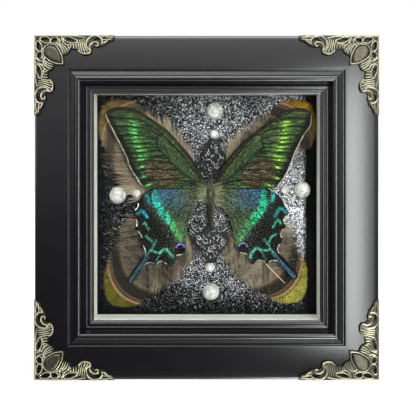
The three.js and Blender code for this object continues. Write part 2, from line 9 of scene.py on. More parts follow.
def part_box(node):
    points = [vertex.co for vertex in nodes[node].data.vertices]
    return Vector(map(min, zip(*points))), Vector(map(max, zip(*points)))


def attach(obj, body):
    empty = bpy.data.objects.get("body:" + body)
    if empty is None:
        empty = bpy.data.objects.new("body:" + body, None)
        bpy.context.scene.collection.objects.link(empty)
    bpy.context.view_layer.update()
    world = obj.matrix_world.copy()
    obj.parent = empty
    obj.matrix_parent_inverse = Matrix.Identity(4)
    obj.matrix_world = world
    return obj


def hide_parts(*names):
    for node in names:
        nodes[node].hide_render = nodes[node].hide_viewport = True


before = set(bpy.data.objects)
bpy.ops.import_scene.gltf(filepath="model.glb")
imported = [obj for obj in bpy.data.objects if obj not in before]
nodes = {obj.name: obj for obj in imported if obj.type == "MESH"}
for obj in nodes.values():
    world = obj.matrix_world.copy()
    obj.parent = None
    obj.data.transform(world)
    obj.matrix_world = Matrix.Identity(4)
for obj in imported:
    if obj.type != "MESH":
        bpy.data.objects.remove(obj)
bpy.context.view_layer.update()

MM = 0.001
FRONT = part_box("rail_top")[0].y / MM
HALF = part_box("rail_top")[1].z / MM / 2

# Camera of the photograph
PHOTO_SIDE = 416
LENS = 56.5
SENSOR = 36.0
FOCAL = LENS / SENSOR * PHOTO_SIDE
STRAIGHT_AHEAD = (223, 175)
EYE_X = 9.5
EYE_Z = 19.0
EYE_TO_FRONT = 379.0


def seen(px, py, depth):
    """Where a pixel of the photograph lies at a depth, as x and z."""
    reach = (EYE_TO_FRONT + depth) / FOCAL
    x = (px - STRAIGHT_AHEAD[0]) * reach + EYE_X
    z = (STRAIGHT_AHEAD[1] - py) * reach + EYE_Z
    return x, z


def to_world(x, depth, z):
    """Places in the box as an array of points in metres."""
    points = np.stack(np.broadcast_arrays(x, FRONT + depth, HALF + z), axis=-1)
    return points.astype(float) * MM


def rgb(code):
    """An sRGB hex colour as red, green and blue from 0 to 1."""
    return np.array([int(code[i : i + 2], 16) / 255 for i in (1, 3, 5)])


def to_linear(colour):
    """sRGB colours from 0 to 1, one or many, as linear ones with alpha."""
    linear = np.where(colour < 0.04045, colour / 12.92, ((colour + 0.055) / 1.055) ** 2.4)
    return np.concatenate([linear, np.ones_like(linear[..., :1])], axis=-1)


def smooth_step(low, high, value):
    share = np.clip((value - low) / (high - low), 0.0, 1.0)
    return share * share * (3 - 2 * share)


def mix(a, b, share):
    return a + (b - a) * share


# ---------------------------------------------------------------- materials


def link(node, sockets):
    """Fills sockets; each takes a value, a node's output, or a node for its first output."""
    for key, value in sockets.items():
        source = value.outputs[0] if isinstance(value, bpy.types.Node) else value
        if isinstance(source, bpy.types.NodeSocket):
            node.id_data.links.new(source, node.inputs[key])
        else:
            node.inputs[key].default_value = source


def add(tree, kind, sockets=None, stops=(), **settings):
    """Adds one node with its settings and links; a ramp takes hex colours at their positions."""
    node = tree.nodes.new("ShaderNode" + kind)
    for name, value in settings.items():
        setattr(node, name, value)
    link(node, sockets or {})
    while stops and len(node.color_ramp.elements) < len(stops):
        node.color_ramp.elements.new(0.5)
    for i, (position, code) in enumerate(stops):
        element = node.color_ramp.elements[i]
        element.position = position
        element.color = to_linear(rgb(code))
    return node


def every(size):
    """Scale of a pattern that changes once in so many millimetres."""
    return 1 / (size * MM)


def new_material(name, surface):
    """A material with its Principled shader, which takes the named values."""
    material = bpy.data.materials.new(name)
    material.use_nodes = True
    shader = material.node_tree.nodes["Principled BSDF"]
    link(shader, surface)
    return material, material.node_tree, shader


def mottled(name, surface, grain, detail, stops, relief=None, roughness=None, distortion=0.0):
    """A finish clouded between hex colours: grain in mm, relief as strength and height in mm."""
    material, tree, shader = new_material(name, surface)
    place = add(tree, "TexCoord").outputs["Object"]
    noise_sockets = {"Vector": place, "Scale": every(grain), "Detail": detail, "Distortion": distortion}
    clouds = add(tree, "TexNoise", noise_sockets)
    link(shader, {"Base Color": add(tree, "ValToRGB", {"Fac": clouds}, stops)})
    if relief:
        strength, height = relief
        bump = add(tree, "Bump", {"Height": clouds, "Strength": strength, "Distance": height * MM})
        link(shader, {"Normal": bump})
    if roughness:
        low, high = roughness
        link(shader, {"Roughness": add(tree, "MapRange", {"Value": clouds, 3: low, 4: high})})
    return material


def tinted(name, surface, grain, detail, low, high):
    """A finish in the colours kept on the piece, shaded from low to high by grain in mm."""
    material, tree, shader = new_material(name, surface)
    tint = add(tree, "Attribute", attribute_name="tint")
    place = add(tree, "TexCoord").outputs["Object"]
    clouds = add(tree, "TexNoise", {"Vector": place, "Scale": every(grain), "Detail": detail})
    shade = add(tree, "MapRange", {"Value": clouds, 3: low, 4: high})
    link(shader, {"Base Color": add(tree, "VectorMath", {0: tint, 3: shade}, operation="SCALE")})
    return material


def black_lacquer():
    # Black lacquer sprayed on moulded stock: deep, slightly violet black with a satin gloss
    material, tree, shader = new_material("black_lacquer", {"Roughness": 0.21, "IOR": 1.5})
    place = add(tree, "TexCoord").outputs["Object"]
    haze = add(tree, "TexNoise", {"Vector": place, "Scale": every(16.7), "Detail": 4.0})
    colour = add(tree, "ValToRGB", {"Fac": haze}, [(0.3, "#0e0c10"), (0.7, "#141216")])
    # Orange peel of a sprayed coat, about 1.5 mm across
    peel = add(tree, "TexNoise", {"Vector": place, "Scale": every(1.54), "Detail": 1.0})
    bump = add(tree, "Bump", {"Height": peel, "Strength": 0.05, "Distance": 0.2 * MM})
    link(shader, {"Base Color": colour, "Normal": bump})
    return material


def antiqued_metal():
    # Cast white metal, antiqued: pale rubbed tops, olive-brown in the recesses
    material, tree, shader = new_material("antiqued_casting", {"Metallic": 0.8, "Roughness": 0.37})
    height = add(tree, "Attribute", attribute_name="height").outputs["Fac"]
    place = add(tree, "TexCoord").outputs["Object"]
    # The grime lies in patches of about 2.4 mm
    grime = add(tree, "TexNoise", {"Vector": place, "Scale": every(2.38), "Detail": 5.0})
    rubbed = add(tree, "Math", {0: grime, 1: 0.5, 2: height}, operation="MULTIPLY_ADD")
    lowered = add(tree, "Math", {0: rubbed, 1: 0.25}, operation="SUBTRACT")
    stops = [(0.0, "#14120d"), (0.3, "#35322a"), (0.62, "#59564a"), (1.0, "#878470")]
    bump = add(tree, "Bump", {"Height": grime, "Strength": 0.12, "Distance": 0.3 * MM})
    link(shader, {"Base Color": add(tree, "ValToRGB", {"Fac": lowered}, stops), "Normal": bump})
    return material


def picture_glass():
    # Picture glass with an anti-reflection coating: nearly invisible, as in the photograph. The
    # coating is given as a low index of refraction.
    surface = {"Roughness": 0.0, "IOR": 1.13, "Transmission Weight": 1.0}
    surface["Base Color"] = to_linear(rgb("#fdfffe"))
    material, tree, shader = new_material("coated_picture_glass", surface)
    shadow = add(tree, "LightPath").outputs["Is Shadow Ray"]
    blend = add(tree, "MixShader", {0: shadow, 1: shader, 2: add(tree, "BsdfTransparent")})
    link(tree.nodes["Material Output"], {"Surface": blend})
    return material


def cream_board():
    # Coated mount board, cream: smooth with a faint sheen that mirrors the pearls
    stops = [(0.3, "#e0e0d8"), (0.7, "#ebebe3")]
    return mottled("coated_mount_board", {"Roughness": 0.32, "IOR": 1.5}, 1.11, 3.0, stops)


def glitter_card():
    # Black card under silver glitter, each flake tilted its own way. Real flakes are about 0.2 mm
    # wide, drawn at 0.49 and 0.37 mm so that they show.
    surface = {"Metallic": 0.7, "Roughness": 0.45, "Specular IOR Level": 0.1}
    material, tree, shader = new_material("silver_glitter_on_black_card", surface)
    place = add(tree, "TexCoord").outputs["Object"]
    coarse = add(tree, "TexVoronoi", {"Vector": place, "Scale": every(0.4878), "Randomness": 1.0})
    fine = add(tree, "TexVoronoi", {"Vector": place, "Scale": every(0.37037), "Randomness": 1.0})
    chance = add(tree, "SeparateColor", {"Color": coarse.outputs["Color"]})
    chance_fine = add(tree, "SeparateColor", {"Color": fine.outputs["Color"]}).outputs["Green"]
    both = add(tree, "Math", {0: chance, 1: chance_fine}, operation="MULTIPLY")
    # The flakes lie closer in clouds of about 18 mm
    cloud = add(tree, "TexNoise", {"Vector": place, "Scale": every(18.18), "Detail": 4.0})
    cloudy = add(tree, "Math", {0: cloud, 1: 0.3, 2: both}, operation="MULTIPLY_ADD")
    # Painted light and shadow: the flakes are painted darker and sparser towards the left and
    # bottom, a painted shadow blanks the strip beside the right wall, and a painted pool of light
    # brightens a round patch at the right
    split = add(tree, "SeparateXYZ", {0: place})
    share_x = add(tree, "MapRange", {"Value": split, 1: -0.068, 2: 0.067})
    stops = [
        (0.0, "#101010"), (0.06, "#6c6c6c"), (0.25, "#a0a0a0"), (0.45, "#ffffff"), (0.935, "#ffffff"),
        (0.955, "#060606"),
    ]
    painted_light_x = add(tree, "ValToRGB", {"Fac": share_x}, stops)
    painted_light_z = add(tree, "MapRange", {"Value": split.outputs["Z"], 1: 0.034, 2: 0.056, 3: 0.1, 4: 1.0})
    even = add(tree, "Math", {0: painted_light_x, 1: painted_light_z}, operation="MULTIPLY")
    to_light_pool = {0: place, 1: (1.0, 0.0, 0.75), 2: (-0.058, 0.0, -0.072)}
    moved = add(tree, "VectorMath", to_light_pool, operation="MULTIPLY_ADD")
    from_light_pool = add(tree, "VectorMath", {0: moved}, operation="LENGTH").outputs["Value"]
    light_pool_edge = {"Value": from_light_pool, 1: 0.036, 2: 0.008, 3: 0.0, 4: 1.0}
    in_patch = add(tree, "MapRange", light_pool_edge, interpolation_type="SMOOTHSTEP")
    bare = add(tree, "MapRange", {"Value": even, 1: 0.0, 2: 0.8, 3: 0.36, 4: 0.0})
    covered = add(tree, "Math", {0: in_patch, 1: 0.2, 2: cloudy}, operation="MULTIPLY_ADD")
    flake = add(tree, "Math", {0: covered, 1: bare}, operation="SUBTRACT")
    # Flakes painted from the black card through grey to white: the white ones are painted glints
    stops = [
        (0.2, "#020203"), (0.38, "#0a0a0c"), (0.5, "#2c2c30"), (0.68, "#96969a"), (0.85, "#fbfbff"),
    ]
    colour = add(tree, "ValToRGB", {"Fac": flake}, stops)
    # Painted light: the colour is raised in the painted pool of light and falls to black in the painted
    # shadow strip
    gain = add(tree, "Math", {0: in_patch, 1: even}, operation="MULTIPLY")
    lit = add(tree, "MapRange", {"Value": gain, 3: 0.66, 4: 0.8})
    out_of_painted_shadow = add(tree, "MapRange", {"Value": even, 1: 0.004, 2: 0.06, 3: 0.0, 4: 1.0})
    brighter = add(tree, "Math", {0: lit, 1: out_of_painted_shadow}, operation="MULTIPLY")
    flakes = add(tree, "VectorMath", {0: colour, 3: brighter}, operation="SCALE")
    leans = {"Vector": coarse.outputs["Color"], 9: (-0.25, -0.25, -0.25), 10: (0.25, 0.25, 0.25)}
    tilt = add(tree, "MapRange", leans, data_type="FLOAT_VECTOR").outputs["Vector"]
    upright = add(tree, "NewGeometry").outputs["Normal"]
    leaning = {0: tilt, 1: (1.0, 1.0, 1.0), 2: upright}
    leaning = add(tree, "VectorMath", leaning, operation="MULTIPLY_ADD")
    normal = add(tree, "VectorMath", {0: leaning}, operation="NORMALIZE")
    link(shader, {"Base Color": flakes, "Normal": normal})
    return material


def hardboard():
    # Hardboard: hot-pressed brown fibre with a faint mottled sheen
    stops = [(0.3, "#5d422a"), (0.55, "#7a5b3c"), (0.75, "#92724e")]
    return mottled("hardboard", {"Roughness": 0.8}, 1.43, 6.0, stops, (0.3, 0.3))


def zinc_plate():
    # Zinc-plated steel, pressed: bright grey with cloudy passivation
    stops = [(0.3, "#9b9da0"), (0.7, "#c0c1c2")]
    return mottled("zinc_plated_steel", {"Metallic": 1.0}, 3.33, 3.0, stops, roughness=(0.28, 0.42))


def feather_barbs():
    # Feather barbs: soft, matt keratin filaments with a faint sheen across them
    surface = {"Roughness": 0.8, "Specular IOR Level": 0.08}
    surface |= {"Sheen Weight": 0.03, "Sheen Roughness": 0.5}
    return tinted("feather_barbs", surface, 1.11, 2.0, 0.75, 1.2)


def pearl_coat():
    # Pearlised resin half pearls: ivory body with a fish-silver lustre under a clear coat
    surface = {"Roughness": 0.3, "Coat Weight": 0.6, "Coat Roughness": 0.06}
    stops = [(0.35, "#858580"), (0.5, "#a6a59f"), (0.62, "#c6c4bd")]
    return mottled("pearlised_resin", surface, 3.85, 3.0, stops, distortion=1.5)


def black_enamel():
    # Glossy black enamel over a casting, which shows the cast pits
    stops = [(0.3, "#08080a"), (0.7, "#141417")]
    return mottled("black_enamel", {"Roughness": 0.16}, 1.25, 3.0, stops, (0.3, 0.2))


def polished_nickel():
    # Nickel left bare on the raised faces of the scrolls, polished
    stops = [(0.36, "#5c5d5f"), (0.62, "#e6e6e4")]
    return mottled("polished_nickel", {"Metallic": 1.0, "Roughness": 0.34}, 1.11, 2.0, stops)


def foiled_crystal():
    # Foil-backed glass rhinestones: small cells painted white or dark, painted glints of the facets
    surface = {"Metallic": 0.9, "Roughness": 0.08, "Coat Weight": 1.0}
    material, tree, shader = new_material("foiled_crystal", surface)
    place = add(tree, "TexCoord").outputs["Object"]
    painted_glint_cells = add(tree, "TexVoronoi", {"Vector": place, "Scale": every(0.6667)})
    chance = add(tree, "SeparateColor", {"Color": painted_glint_cells.outputs["Color"]})
    stops = [(0.25, "#30323a"), (0.5, "#b9bcc4"), (0.8, "#ffffff")]
    link(shader, {"Base Color": add(tree, "ValToRGB", {"Fac": chance}, stops)})
    return material


def wing_scales(name, shine):
    # Scaled wing membrane: matt black and brown pigment scales, and green ones that gleam
    # because their colour is structural
    material, tree, shader = new_material(name, {"Roughness": 0.62, "Specular IOR Level": 0.05})
    tint = add(tree, "Attribute", attribute_name="tint")
    gleam = add(tree, "Attribute", attribute_name="gleam").outputs["Fac"]
    place = add(tree, "TexCoord").outputs["Object"]
    # Scales are 0.1 mm wide on the insect, drawn at 0.56 mm so that they show
    scales = add(tree, "TexVoronoi", {"Vector": place, "Scale": every(0.55556)})
    light = add(tree, "SeparateColor", {"Color": scales.outputs["Color"]})
    curve = add(tree, "Math", {0: light, 1: 1.4}, operation="POWER")
    shade = add(tree, "MapRange", {"Value": curve, 3: 0.12, 4: 1.85})
    colour = add(tree, "VectorMath", {0: tint, 3: shade}, operation="SCALE")
    metal = add(tree, "Math", {0: gleam, 1: shine}, operation="MULTIPLY")
    bump = add(tree, "Bump", {"Height": scales, "Strength": 0.3, "Distance": 0.1 * MM})
    link(shader, {"Base Color": colour, "Metallic": metal, "Normal": bump})
    return material


def insect_hair():
    # Hairy chitin: dark brown shell under pale olive hairs
    surface = {"Roughness": 0.7, "Specular IOR Level": 0.1, "Sheen Weight": 0.03}
    return tinted("hairy_chitin", surface, 0.667, 3.0, 0.6, 1.4)


# ---------------------------------------------------------------- shaping tools


def lay(colour, code, mask):
    """Lays a hex colour over the colours as thickly as the mask says."""
    return colour + (rgb(code) - colour) * np.clip(mask, 0, 1)[:, None]


def plain(code, count):
    """One hex colour for so many vertices."""
    return np.tile(rgb(code), (count, 1))


def paint(mesh, colour):
    """Keeps sRGB colours, one to a vertex, as the linear attribute that the materials tint by."""
    layer = mesh.attributes.new("tint", "FLOAT_COLOR", "POINT")
    layer.data.foreach_set("color", to_linear(np.clip(colour, 0, 1)).ravel())


def keep_value(mesh, name, values):
    layer = mesh.attributes.new(name, "FLOAT", "POINT")
    layer.data.foreach_set("value", np.asarray(values, float))


def coordinates(mesh):
    flat = np.empty(len(mesh.vertices) * 3)
    mesh.vertices.foreach_get("co", flat)
    return flat.reshape(-1, 3)


def move_to(mesh, points):
    mesh.vertices.foreach_set("co", np.asarray(points, float).ravel())
    mesh.update()


def to_mesh(bm, name):
    mesh = bpy.data.meshes.new(name)
    bm.to_mesh(mesh)
    bm.free()
    return mesh


def add_piece(name, mesh, material, replaced, sharp_angle=None):
    """Puts a finished mesh in the scene as a piece in place of its CAD node."""
    mesh.materials.clear()
    mesh.materials.append(material)
    mesh.shade_smooth()
    if sharp_angle is not None:
        mesh.set_sharp_from_angle(angle=math.radians(sharp_angle))
    piece = bpy.data.objects.new(name, mesh)
    bpy.context.scene.collection.objects.link(piece)
    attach(piece, "root")
    if replaced:
        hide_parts(replaced)
    return piece


def smooth_line(points, steps=4, closed=False):
    """A rounder line through the points."""
    points = [np.array(p, float) for p in points]
    count = len(points)
    result = []
    spans = count if closed else count - 1
    for i in range(spans):
        if closed:
            p0, p1, p2, p3 = (points[(i + k) % count] for k in (-1, 0, 1, 2))
        else:
            p0, p1, p2, p3 = (points[min(max(i + k, 0), count - 1)] for k in (-1, 0, 1, 2))
        for step in range(steps):
            t = step / steps
            bend = (2 * p0 - 5 * p1 + 4 * p2 - p3) * t * t + (3 * p1 - p0 - 3 * p2 + p3) * t**3
            result.append(0.5 * (2 * p1 + (p2 - p0) * t + bend))
    if not closed:
        result.append(points[-1])
    return result


def distance_to(line, x, y):
    """Distance of every point to a line, and the share of the line at the nearest place."""
    nearest = np.full(x.shape, 1e9)
    share = np.zeros(x.shape)
    for i, (a, b) in enumerate(zip(line[:-1], line[1:])):
        dx, dy = b[0] - a[0], b[1] - a[1]
        length = dx * dx + dy * dy + 1e-12
        t = np.clip(((x - a[0]) * dx + (y - a[1]) * dy) / length, 0, 1)
        gap = np.hypot(x - a[0] - t * dx, y - a[1] - t * dy)
        closer = gap < nearest
        nearest = np.where(closer, gap, nearest)
        share = np.where(closer, (i + t) / (len(line) - 1), share)
    return nearest, share


def inside(outline, x, y):
    """Which points lie inside a closed outline."""
    odd = np.zeros(x.shape, bool)
    for a, b in zip(outline, outline[1:] + outline[:1]):
        if a[1] == b[1]:
            continue
        crosses = (a[1] > y) != (b[1] > y)
        odd ^= crosses & (x < (b[0] - a[0]) * (y - a[1]) / (b[1] - a[1]) + a[0])
    return odd


def nearest_on(outline, x, y):
    """The nearest point of a closed outline to each point."""
    best = np.full(x.shape, 1e9)
    found = np.stack([x, y], axis=-1)
    for a, b in zip(outline, outline[1:] + outline[:1]):
        dx, dy = b[0] - a[0], b[1] - a[1]
        t = np.clip(((x - a[0]) * dx + (y - a[1]) * dy) / (dx * dx + dy * dy + 1e-12), 0, 1)
        spot = np.stack([a[0] + t * dx, a[1] + t * dy], axis=-1)
        gap = np.hypot(x - spot[:, 0], y - spot[:, 1])
        closer = gap < best
        best = np.where(closer, gap, best)
        found[closer] = spot[closer]
    return best, found


def ribbons(count, segments, name):
    """Separate narrow strips from one grid: the mesh, and each vertex's strip, side and share."""
    columns = 2 * count - 1
    bm = bmesh.new()
    bmesh.ops.create_grid(bm, x_segments=columns, y_segments=segments, size=0.5)
    between = [f for f in bm.faces if int((f.calc_center_median().x + 0.5) * columns) % 2]
    bmesh.ops.delete(bm, geom=between, context="FACES")
    mesh = to_mesh(bm, name)
    flat = coordinates(mesh)
    column = np.rint((flat[:, 0] + 0.5) * columns).astype(int)
    return mesh, column // 2, (column % 2) * 2 - 1, flat[:, 1] + 0.5


def curve_to_mesh(curve):
    holder = bpy.data.objects.new(curve.name, curve)
    mesh = bpy.data.meshes.new_from_object(holder)
    bpy.data.objects.remove(holder)
    bpy.data.curves.remove(curve)
    return mesh


def wires(strokes, name, resolution, roundness):
    """Round wires through their points: each stroke is its (x, depth, z) points and radii."""
    curve = bpy.data.curves.new(name, "CURVE")
    curve.dimensions = "3D"
    curve.bevel_depth = 1.0
    curve.bevel_resolution = roundness
    curve.use_fill_caps = True
    curve.resolution_u = resolution
    for points, radii, closed in strokes:
        spline = curve.splines.new("BEZIER")
        spline.bezier_points.add(len(points) - 1)
        spline.use_cyclic_u = closed
        for knot, point, radius in zip(spline.bezier_points, points, radii):
            knot.co = point
            knot.radius = radius
            knot.handle_left_type = knot.handle_right_type = "AUTO"
    return curve_to_mesh(curve)


def joined(meshes, name):
    """One mesh of several."""
    bm = bmesh.new()
    for mesh in meshes:
        bm.from_mesh(mesh)
        bpy.data.meshes.remove(mesh)
    return to_mesh(bm, name)


# ---------------------------------------------------------------- frame rails

RAIL_WIDTH = 33.0
RAIL_DEPTH = 36.0
BAND_WIDTH = 19.5
BAND_DROP = 1.0
REBATE_FROM_EDGE = 28.5
LIP_BACK = 8.4
MITRE_GAP = 0.01


def band_depth(from_edge):
    """How far the crowned outer band lies behind the front plane."""
    share = np.clip(from_edge / BAND_WIDTH, 0, 1)
    return BAND_DROP * (1 - share) ** 2


def bead(middle, foot, half, crown, steps):
    """Bead from its outer foot to its inner foot: upright sides under an arch of height crown."""
    spring = foot - (half - crown)
    turns = np.linspace(math.pi, 0, steps)
    arch = [(middle + half * math.cos(a), spring - crown * math.sin(a)) for a in turns]
    return [(middle - half, foot)] + arch + [(middle + half, foot)]


def rail_profile():
    """Section of the moulding as distance from the outer edge and depth."""
    band = [(u, float(band_depth(u))) for u in np.linspace(1.4, 19.2, 12)]
    rolled_edge = [(0.0, 1.3), (0.05, 1.13), (0.2, 1.06)]
    turns = np.linspace(0.3, math.pi / 2, 6)
    inner_roll = [(19.35 + 0.5 * math.sin(a), 0.5 - 0.5 * math.cos(a)) for a in turns]
    groove = [(19.9, 1.7), (20.35, 1.7)]
    bevel = [(20.45, 1.62), (22.9, 1.16)]
    round_bead = bead(24.75, 1.95, 1.75, 0.95, 18)
    slope = [(26.55, 2.3), (27.0, 4.0), (28.15, 6.35)]
    fine_beads = bead(28.85, 6.6, 0.6, 0.28, 9) + bead(31.1, 6.65, 0.7, 0.32, 9)
    lip = [(32.2, 6.8), (32.5, 6.75), (32.85, 6.95), (33.0, 7.3)]
    back = [
        (RAIL_WIDTH, LIP_BACK),
        (REBATE_FROM_EDGE, LIP_BACK),
        (REBATE_FROM_EDGE, RAIL_DEPTH),
        (0.0, RAIL_DEPTH),
    ]
    front = rolled_edge + band + inner_roll + groove + bevel + round_bead + slope
    return front + fine_beads + lip + back


def rail_mesh(turns):
    """One rail, mitred at both ends, turned from the bottom to its own side."""
    bm = bmesh.new()
    corners = [bm.verts.new((0, u, -depth)) for u, depth in rail_profile()]
    end = bm.faces.new(corners)
    moved = bmesh.ops.extrude_face_region(bm, geom=[end])["geom"]
    far = [v for v in moved if isinstance(v, bmesh.types.BMVert)]
    bmesh.ops.translate(bm, verts=far, vec=(1, 0, 0))
    for vert in bm.verts:
        reach = HALF - vert.co.y - MITRE_GAP
        along = (2 * vert.co.x - 1) * reach
        vert.co = (along, FRONT - vert.co.z, vert.co.y - HALF)
    turn = Matrix.Rotation(turns * math.pi / 2, 3, "Y")
    bmesh.ops.rotate(bm, verts=bm.verts, cent=(0, 0, 0), matrix=turn)
    bmesh.ops.translate(bm, verts=bm.verts, vec=(0, 0, HALF))
    bmesh.ops.scale(bm, verts=bm.verts, vec=(MM, MM, MM))
    bmesh.ops.recalc_face_normals(bm, faces=bm.faces)
    return to_mesh(bm, "rail")


def make_rails():
    lacquer = black_lacquer()
    for turns, side in enumerate(("bottom", "left", "top", "right")):
        mesh = rail_mesh(turns)
        add_piece(f"moulding_{side}", mesh, lacquer, f"rail_{side}", sharp_angle=24)


# ---------------------------------------------------------------- corner castings

# One arm of the casting in photograph pixels from the outer corner, along the edge and inwards.
# The other arm is its mirror image in the diagonal.
PIXEL = 0.578
PLATE_EDGE = [
    (80.5, 0), (80.2, 3.5), (77, 5.5), (74, 6.2), (71.5, 8), (70, 10), (66, 10.8), (63, 11.6),
    (60, 10.6), (58, 12.4), (57.4, 15.2), (57.6, 17.6), (54.5, 18.7), (51, 19.2), (48, 17.8),
    (46, 15.8), (42.5, 14), (39.5, 13.8), (36.5, 13.2), (35.2, 16.6), (33, 18.8), (30.6, 19.4),
    (28.9, 20.6), (29.5, 25.5),
]
TEARDROP_TIP = (29.9, 29.9)
PLATE_HOLES = [
    [(58, 9.5), (58.5, 5.5), (61.5, 3), (65.5, 2.6), (68.5, 4.5), (68.5, 7), (65, 5.8), (61.5, 6.6)],
    [(31.5, 4.6), (33.5, 2.8), (37, 3.8), (41.5, 6.8), (37.5, 7), (34, 6.4)],
    [(7, 4), (10, 2.6), (14, 3.4), (15.5, 6.2), (12.5, 7.2), (9, 6.2)],
    [(17.5, 6.4), (19.2, 3.8), (22.4, 3.8), (23.4, 5.8), (20.6, 7.6)],
]
# Wires of the casting: their points, thickness and whether they close
CASTING_WIRES = [
    ([(1, 1), (14, 0.9), (30, 1), (44, 1.4), (52, 3.2)], 0.75, False),
    ([(6, 3.4), (10, 1.8), (15, 3.2), (16.6, 6.8), (12.6, 8.2), (8.6, 6.8)], 0.55, True),
    ([(16.6, 7.2), (18, 3), (22, 2.4), (24.4, 5), (22.4, 7.9), (19.2, 8.4)], 0.5, True),
    ([(22.4, 1.6), (25.8, 5), (25.6, 9), (22.5, 11)], 0.6, False),
    ([(29.6, 3), (34, 1.8), (39, 3.2), (43.4, 6.8), (38, 8), (33.4, 7)], 0.6, True),
    ([(27.4, 1.6), (29.2, 6), (33, 10), (38.6, 9.4)], 0.6, False),
    ([(36.4, 8.6), (37, 11.6), (36, 13.2)], 0.5, False),
    ([(38.8, 7.8), (39.8, 11), (39.6, 13.4)], 0.5, False),
    ([(41.2, 7), (42.4, 10.4), (42.6, 13.8)], 0.5, False),
    ([(43.6, 6), (45, 10.8), (45.6, 15.4)], 0.55, False),
    ([(45.8, 5), (46.8, 10.6), (48.2, 16.8)], 0.55, False),
    ([(48, 4.2), (48.8, 11), (51.4, 17.8)], 0.55, False),
    ([(50.2, 4), (50.8, 10.8), (54.2, 17)], 0.55, False),
    ([(52.4, 5), (52.4, 11), (56.6, 16)], 0.6, False),
    ([(44.6, 15.4), (47.8, 18.2), (52, 18.9), (56, 17.4), (57, 15)], 0.7, False),
    ([(52.4, 11), (53.6, 5), (57.4, 1.6), (62, 0.9), (66.4, 2.8), (68.4, 6), (68, 9)], 0.85, False),
    (
        [(56.6, 15.6), (55.8, 12), (57.6, 8.6), (61, 7), (63.8, 8), (63.8, 10.8), (61.4, 10.6)],
        0.75, False,
    ),
    ([(66, 2), (71.6, 1.4), (76.6, 2.4), (79.4, 1.6)], 0.8, False),
    ([(68.6, 5), (73.4, 4.6), (77.6, 4)], 0.7, False),
    ([(67.6, 8.8), (71, 7.4), (73.6, 5.6)], 0.7, False),
    ([(19.5, 7.9), (24.5, 9.9), (27.6, 13.4), (29.6, 18.6)], 0.5, False),
    ([(23, 8.6), (28, 11.2), (30.8, 15.2), (32, 18.8)], 0.5, False),
    ([(25.6, 8.4), (30, 10.8), (33, 14.6), (34.2, 17.2)], 0.55, False),
    ([(28.4, 7.6), (32.8, 9.8), (35.2, 12.8), (35.6, 15)], 0.5, False),
]
STONE_MIDDLE = (17.1, 17.1)
STONE_RADIUS = 6.9
STONE_TIP = 14.4
BACK_OF_CASTING = -0.3
PLATE_THICKNESS = 1.0
STONE_HEIGHT = 1.85
SETTING = 1.05  # how far the wire around the stone lies outside it, in pixels
WIRE_SHARE = 0.74
CASTING_REACH = 46.4
CASTING_FRONT = -2.69


def stone_reach(direction):
    """Distance from the middle of the teardrop to its edge, in pixels: a circle drawn to a tip."""
    turned = (direction - math.pi / 4 + math.pi) % (2 * math.pi) - math.pi
    near_tip = np.maximum(1 - abs(turned) / math.radians(80), 0.0)
    return STONE_RADIUS + (STONE_TIP - STONE_RADIUS) * near_tip**2.2


def stone_point(direction, share):
    """A point of the teardrop, in pixels: at share 1 on its edge."""
    reach = stone_reach(direction) * share
    return STONE_MIDDLE[0] + reach * math.cos(direction), STONE_MIDDLE[1] + reach * math.sin(direction)


def swapped(points):
    return [(b, a) for a, b in points]


def plate_mesh():
    """Flat openwork plate: a filled outline with its holes."""
    curve = bpy.data.curves.new("plate", "CURVE")
    curve.dimensions = "2D"
    curve.fill_mode = "BOTH"
    rounding = 0.15
    curve.extrude = PLATE_THICKNESS / 2 - rounding
    curve.bevel_depth = rounding
    curve.bevel_resolution = 1
    outer = [(0, 0)] + PLATE_EDGE + [TEARDROP_TIP] + swapped(PLATE_EDGE)[::-1]
    loops = [outer] + [smooth_line(h, 3, True) for hole in PLATE_HOLES for h in (hole, swapped(hole))]
    for loop in loops:
        spline = curve.splines.new("POLY")
        spline.points.add(len(loop) - 1)
        spline.use_cyclic_u = True
        for knot, point in zip(spline.points, loop):
            knot.co = (point[0] * PIXEL, point[1] * PIXEL, 0, 1)
    return curve_to_mesh(curve)


def casting_meshes():
    """Plate, wires and stone lying flat: along, inwards, and height towards the viewer."""
    strokes = []
    for points, radius, closed in CASTING_WIRES:
        for line in (points, swapped(points)):
            places = [(a * PIXEL, b * PIXEL, PLATE_THICKNESS - 0.1) for a, b in line]
            middle = (len(places) - 1) / 2
            # An open wire tapers to its ends
            full = [1.0 if closed else 1.1 - 0.3 * abs(i / middle - 1) for i in range(len(places))]
            strokes.append((places, [WIRE_SHARE * radius * share for share in full], closed))
    turns = [math.pi / 4 + i / 48 * 2 * math.pi for i in range(48)]
    ring = [stone_point(direction, 1 + SETTING / STONE_RADIUS) for direction in turns]
    ring = [(a * PIXEL, b * PIXEL, PLATE_THICKNESS + 0.1) for a, b in ring]
    strokes.append((ring, [0.34] * len(ring), True))
    relief = wires(strokes, "casting_wires", 4, 2)
    bm = bmesh.new()
    bmesh.ops.create_uvsphere(bm, u_segments=64, v_segments=24, radius=1)
    low = [v for v in bm.verts if v.co.z < -0.01]
    bmesh.ops.delete(bm, geom=low, context="VERTS")
    for vert in bm.verts:
        x, y, z = vert.co
        a, b = stone_point(math.atan2(y, x), math.hypot(x, y) * 0.99)
        vert.co = (a * PIXEL, b * PIXEL, PLATE_THICKNESS + STONE_HEIGHT * z)
    return [plate_mesh(), relief, to_mesh(bm, "stone")]


